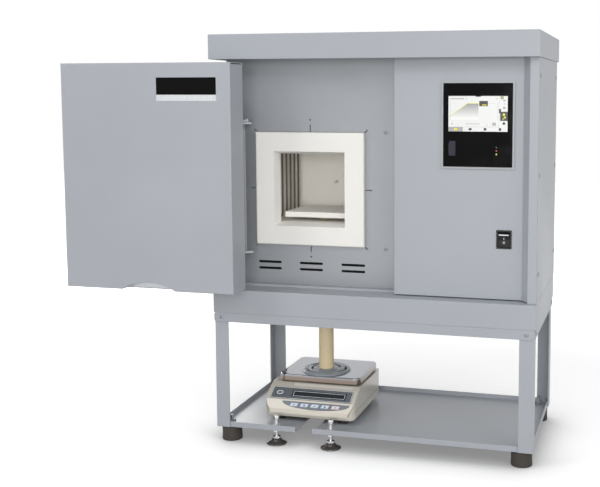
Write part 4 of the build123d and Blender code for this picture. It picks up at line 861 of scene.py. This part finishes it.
def corner_wall(side, end, lows, highs):
    """Curved wall at one corner of the housing: two arcs, of radius 19.9 and 18.2 about the
    corner's centre, whose lower and upper edges are read from the housing's side outline."""
    quarter = np.linspace(0, pi / 2, 15)
    outer_radius, inner_radius, gap = 19.9, 18.2, 0.4
    loops = []
    for radius in (outer_radius, inner_radius):
        back = housing_corner - radius * np.cos(quarter)
        x = housing_middle + side * (housing_half_width - housing_corner + radius * np.sin(quarter))
        y = housing_front + back if end < 0 else housing_rear - back
        back = np.clip(back, 0.0, None)
        for heights, shift in ((lows, gap), (highs, -gap)):
            level = housing_base + np.interp(back, *np.transpose(heights)) + shift
            loops.append(np.stack([x, y, level], -1))
    outer_low, outer_high, inner_low, inner_high = loops
    around = [outer_low, outer_high, inner_high, inner_low]
    rings = np.stack(around if side * end > 0 else around[::-1], 1)
    return skin(rings)


# Lower and upper edge of the housing's ends: places back from the end, and heights over its base
front_edges = [(0, 7), (4, 0)], [(0, 7), (1.5, 16), (11, 33), (20, 38)]
rear_edges = [(0, 22), (4, 0)], [(0, 22), (4, 48), (14, 57)]
corner_walls = [corner_wall(side, -1, *front_edges) for side in (-1, 1)]
corner_walls += [corner_wall(side, 1, *rear_edges) for side in (-1, 1)]
piece("housing_corners", corner_walls, finishes["shell_cream"])
strip, strip_place = slab(rounded_box_outline(129, 8.6, 0.6), 0.15), (-128.5, -56.6, 98.5)
strip_part = lay(strip, strip_place, X, uphill(16.0, 6.0))
piece("housing_strip", [strip_part], label_pale)
seam, seam_level = slab(bar(-97.0, -0.35, 98.0, 0.35), 0.06), 59.0
right_seam = lay(seam, (housing_middle + housing_half_width, 0, seam_level), Y, Z)
left_seam = lay(seam, (housing_middle - housing_half_width, 1.0, seam_level), -Y, Z)
piece("housing_seams", [right_seam, left_seam], finishes["base_black"])

# Adapter disc and pan
disc_bore, disc_edge = 16.3, 52.0
slot_rings, slot_half_width = (30.0, 42.0), 2.6
slot_start, ring_turn, slot_pitch, slot_sweep = 20.0, 60.0, 120.0, 75.0
disc_datum, disc_under, slot_floor = 100.0, 118.0, 18.4
step_radii = [15.9, 25.5, 26.5, 35.5, 36.5, 48.5, 50.5, 52.0]
step_heights = [24, 24, 23, 23, 22, 22, 20.2, 19.4]


def disc_height(radius, angle):
    """Height of the adapter disc: a thin rim, two raised steps towards the tube, and sunk slots
    where a radius lies within 2.6 of 30 or 42 and the angle within a slot's sweep of 75."""
    steps = np.interp(radius, step_radii, step_heights)
    slots = np.zeros_like(steps)
    for ring, middle in enumerate(slot_rings):
        swept = (np.degrees(angle) - slot_start - ring_turn * ring) % slot_pitch
        slots = np.maximum(slots, (abs(radius - middle) < slot_half_width) & (swept < slot_sweep))
    return disc_datum + steps - slots * (steps - slot_floor)


beside_wall = [-2.65, -2.55, 2.55, 2.65]
wall_radii = np.repeat(slot_rings, len(beside_wall)) + np.tile(beside_wall, len(slot_rings))
disc_radii = np.unique(np.concatenate([np.linspace(disc_bore, disc_edge, 40), wall_radii]))
disc_angles = np.linspace(0, 2 * pi, 240, endpoint=False)
radius_grid, angle_grid = np.meshgrid(disc_radii, disc_angles, indexing="ij")
height_grid = disc_height(radius_grid, angle_grid)
disc_top = np.stack(
    [radius_grid * np.cos(angle_grid), radius_grid * np.sin(angle_grid), height_grid], -1
)
bore_ring, edge_ring = disc_top[:1].copy(), disc_top[-1:].copy()
bore_ring[0, :, 2] = disc_under
edge_ring[0, :, 2] = disc_under
disc_skin = skin(np.concatenate([bore_ring, edge_ring, disc_top[::-1]]), ring_again=True)
piece(
    "disc_steps", [lay(disc_skin, (chamber_middle, 0, 0))], finishes["disc_grey"],
    body="pan", instead_of=["adapter_disc"],
)
# Black arcs on the floors of the slots are painted shade for the dark seen through them.
shadow_half_width, shadow_level = 2.2, 118.45
slot_shadow_arcs = []
for ring, middle in enumerate(slot_rings):
    for first_angle in slot_start + ring_turn * ring + np.arange(3) * slot_pitch:
        sweep = np.radians(first_angle + np.linspace(1, slot_sweep - 1, 24))
        way = np.stack([np.cos(sweep), np.sin(sweep)], -1)
        outer_arc, inner_arc = way * (middle + shadow_half_width), way * (middle - shadow_half_width)
        arc = np.concatenate([outer_arc, inner_arc[::-1]])
        slot_shadow_arcs.append(lay(slab(arc, 0.1, shadow_level), (chamber_middle, 0, 0)))
piece("disc_slot_shadows", slot_shadow_arcs, painted_hole_shade, body="pan")

pan_place, pan_width, pan_depth, pan_corner = (chamber_middle, 19.5, 0), 178, 146, 14


def pan_ring(inset, level):
    """One ring of the pan: a rounded rectangle drawn in by an inset, at a height."""
    width, depth = pan_width - 2 * inset, pan_depth - 2 * inset
    outline = rounded_box_outline(width, depth, pan_corner - inset, 9)
    return np.concatenate([outline, np.full((len(outline), 1), level)], 1)


pan_profile = softened([(2, 115.8), (2, 104), (0, 104), (0, 118), (13.6, 118)], 2.4, 7)
pan_skin = skin([pan_ring(inset, level) for inset, level in pan_profile])
stem = turned(softened([(10, 66.8), (10, 112), (16, 116), (16, 117)], 3), count=40)
piece(
    "pan_tray", [lay(pan_skin, pan_place), lay(stem, pan_place)], finishes["pan_steel"],
    body="pan", instead_of=["weighing_pan"],
)

# Plain plate on the door, and painted shade for the slot at its fold
plate_x, plate_front, plate_depth, plate_corner = -339.5, -243.04, 0.12, 0.8
black_plate = slab(rounded_box_outline(125, 33, plate_corner), plate_depth)
silver_plate = slab(rounded_box_outline(125, 11.5, plate_corner), plate_depth)
piece(
    "door_plate_black", [lay(black_plate, (plate_x, plate_front, 726.0), X, Z)],
    finishes["glass_black"], body="door",
)
piece(
    "door_plate_silver", [lay(silver_plate, (plate_x, plate_front, 703.4), X, Z)],
    finishes["strap_metal"], body="door",
)
# The black strip is painted shade for the relief slot at the door's fold.
relief = slab(rounded_box_outline(50, 1.8, 0.8), 0.1)
relief_shadow_place = (-248.1, -213.5, 768.6)
relief_shadow_part = lay(relief, relief_shadow_place, Y, Z)
piece("door_relief_shadow", [relief_shadow_part], painted_hole_shade, body="door")

# Floor, light and camera
def shown_ray(tree):
    """One for rays that show the surroundings: straight, mirrored or let through."""
    path_kind = add(tree, "LightPath").outputs
    direct = reckon(tree, "MAXIMUM", path_kind["Is Camera Ray"], path_kind["Is Glossy Ray"])
    return reckon(tree, "MAXIMUM", direct, path_kind["Is Transmission Ray"])


def grey(level):
    """A neutral colour of a linear level."""
    return (level, level, level, 1)


floor_mesh = bpy.data.meshes.new("floor")
reach = 6.0
floor_corners = [(-reach, -reach, 0), (reach, -reach, 0), (reach, reach, 0), (-reach, reach, 0)]
floor_mesh.from_pydata(floor_corners, [], [(0, 1, 2, 3)])
floor = bpy.data.objects.new("floor", floor_mesh)
bpy.context.scene.collection.objects.link(floor)
floor_finish, tree, shader, point = start("floor_white", Roughness=0.9, Emission_Color=grey(1))
shader.inputs["Specular IOR Level"].default_value = 0.0
tone = place_group(tree, "Tone", Point=point, Broad=2.0, Fine=400.0)
pale = mix(tree, tone["Cloud"], grey(0.84), grey(0.86))
seen = shown_ray(tree)
# Where ambient occlusion finds the object near, the floor's colour and glow drop: a painted contact
# shadow under the stand.
shade_reach, closed, opened = 0.13, 0.4, 0.95
painted_shadow_grey, bounced = grey(0.3), grey(0.5)
open_air = add(tree, "AmbientOcclusion", {"Distance": shade_reach}, samples=8).outputs["AO"]
painted_contact_shadow = mix(tree, spread(tree, open_air, closed, opened, 0, 1), painted_shadow_grey, pale)
tree.links.new(mix(tree, seen, bounced, painted_contact_shadow), shader.inputs["Base Color"])
away = add(tree, "VectorMath", {0: point}, operation="LENGTH").outputs["Value"]
glow_in_painted_shadow = spread(tree, open_air, closed, opened, 0.22, 0.42)
far_glow = spread(tree, away, 0.7, 2.2, 0, 0.5)
glow = reckon(tree, "ADD", glow_in_painted_shadow, far_glow)
tree.links.new(reckon(tree, "MULTIPLY", seen, glow), shader.inputs["Emission Strength"])
floor_mesh.materials.append(floor_finish)

lighting_strength, shown_strength = 0.45, 1.0
world = bpy.data.worlds.new("studio")
bpy.context.scene.world = world
world.use_nodes = True
tree = world.node_tree
back = tree.nodes["Background"]
back.inputs["Color"].default_value = grey(1)
strength = spread(tree, shown_ray(tree), 0, 1, lighting_strength, shown_strength)
tree.links.new(strength, back.inputs["Strength"])


def area_lamp(name, place, target, width, power):
    """A soft square lamp that looks at a point."""
    lamp = bpy.data.lights.new(name, "AREA")
    lamp.shape, lamp.size, lamp.energy = "SQUARE", width, power
    made = bpy.data.objects.new(name, lamp)
    bpy.context.scene.collection.objects.link(made)
    place = np.array(place, float)
    aim = np.array(target, float) - place
    made.location = place
    down = float(np.arctan2(np.hypot(aim[0], aim[1]), -aim[2]))
    made.rotation_euler = (down, 0.0, float(np.arctan2(-aim[0], aim[1])))


area_lamp("lamp_front", (0.45, -3.4, 0.8), (-0.1, 0, 0.5), width=1.2, power=37.0)
area_lamp("lamp_left", (-2.3, -2.6, 2.5), (0, 0, 0.45), width=1.6, power=33.0)
area_lamp("lamp_right", (2.6, -1.6, 1.6), (0, 0, 0.4), width=2.0, power=22.0)
area_lamp("lamp_high", (1.8, -2.8, 2.6), (0, 0, 0.4), width=1.8, power=16.0)
area_lamp("lamp_rear", (-1.6, 1.9, 0.75), (-0.25, 0, 0.05), width=0.9, power=13.0)

camera_down, camera_turn = 5.848, 14.515
view = bpy.data.cameras.new("camera")
view.lens, view.sensor_width = 60.064, 36.0
view.shift_x, view.shift_y = -0.155, -0.08
view.clip_end = 50.0
camera = bpy.data.objects.new("camera", view)
camera.location = (0.5283, -2.0105, 0.7128)
camera.rotation_euler = (radians(90 - camera_down), 0, radians(camera_turn))
bpy.context.scene.collection.objects.link(camera)
bpy.context.scene.camera = camera
bpy.context.scene.view_settings.view_transform = "Standard"
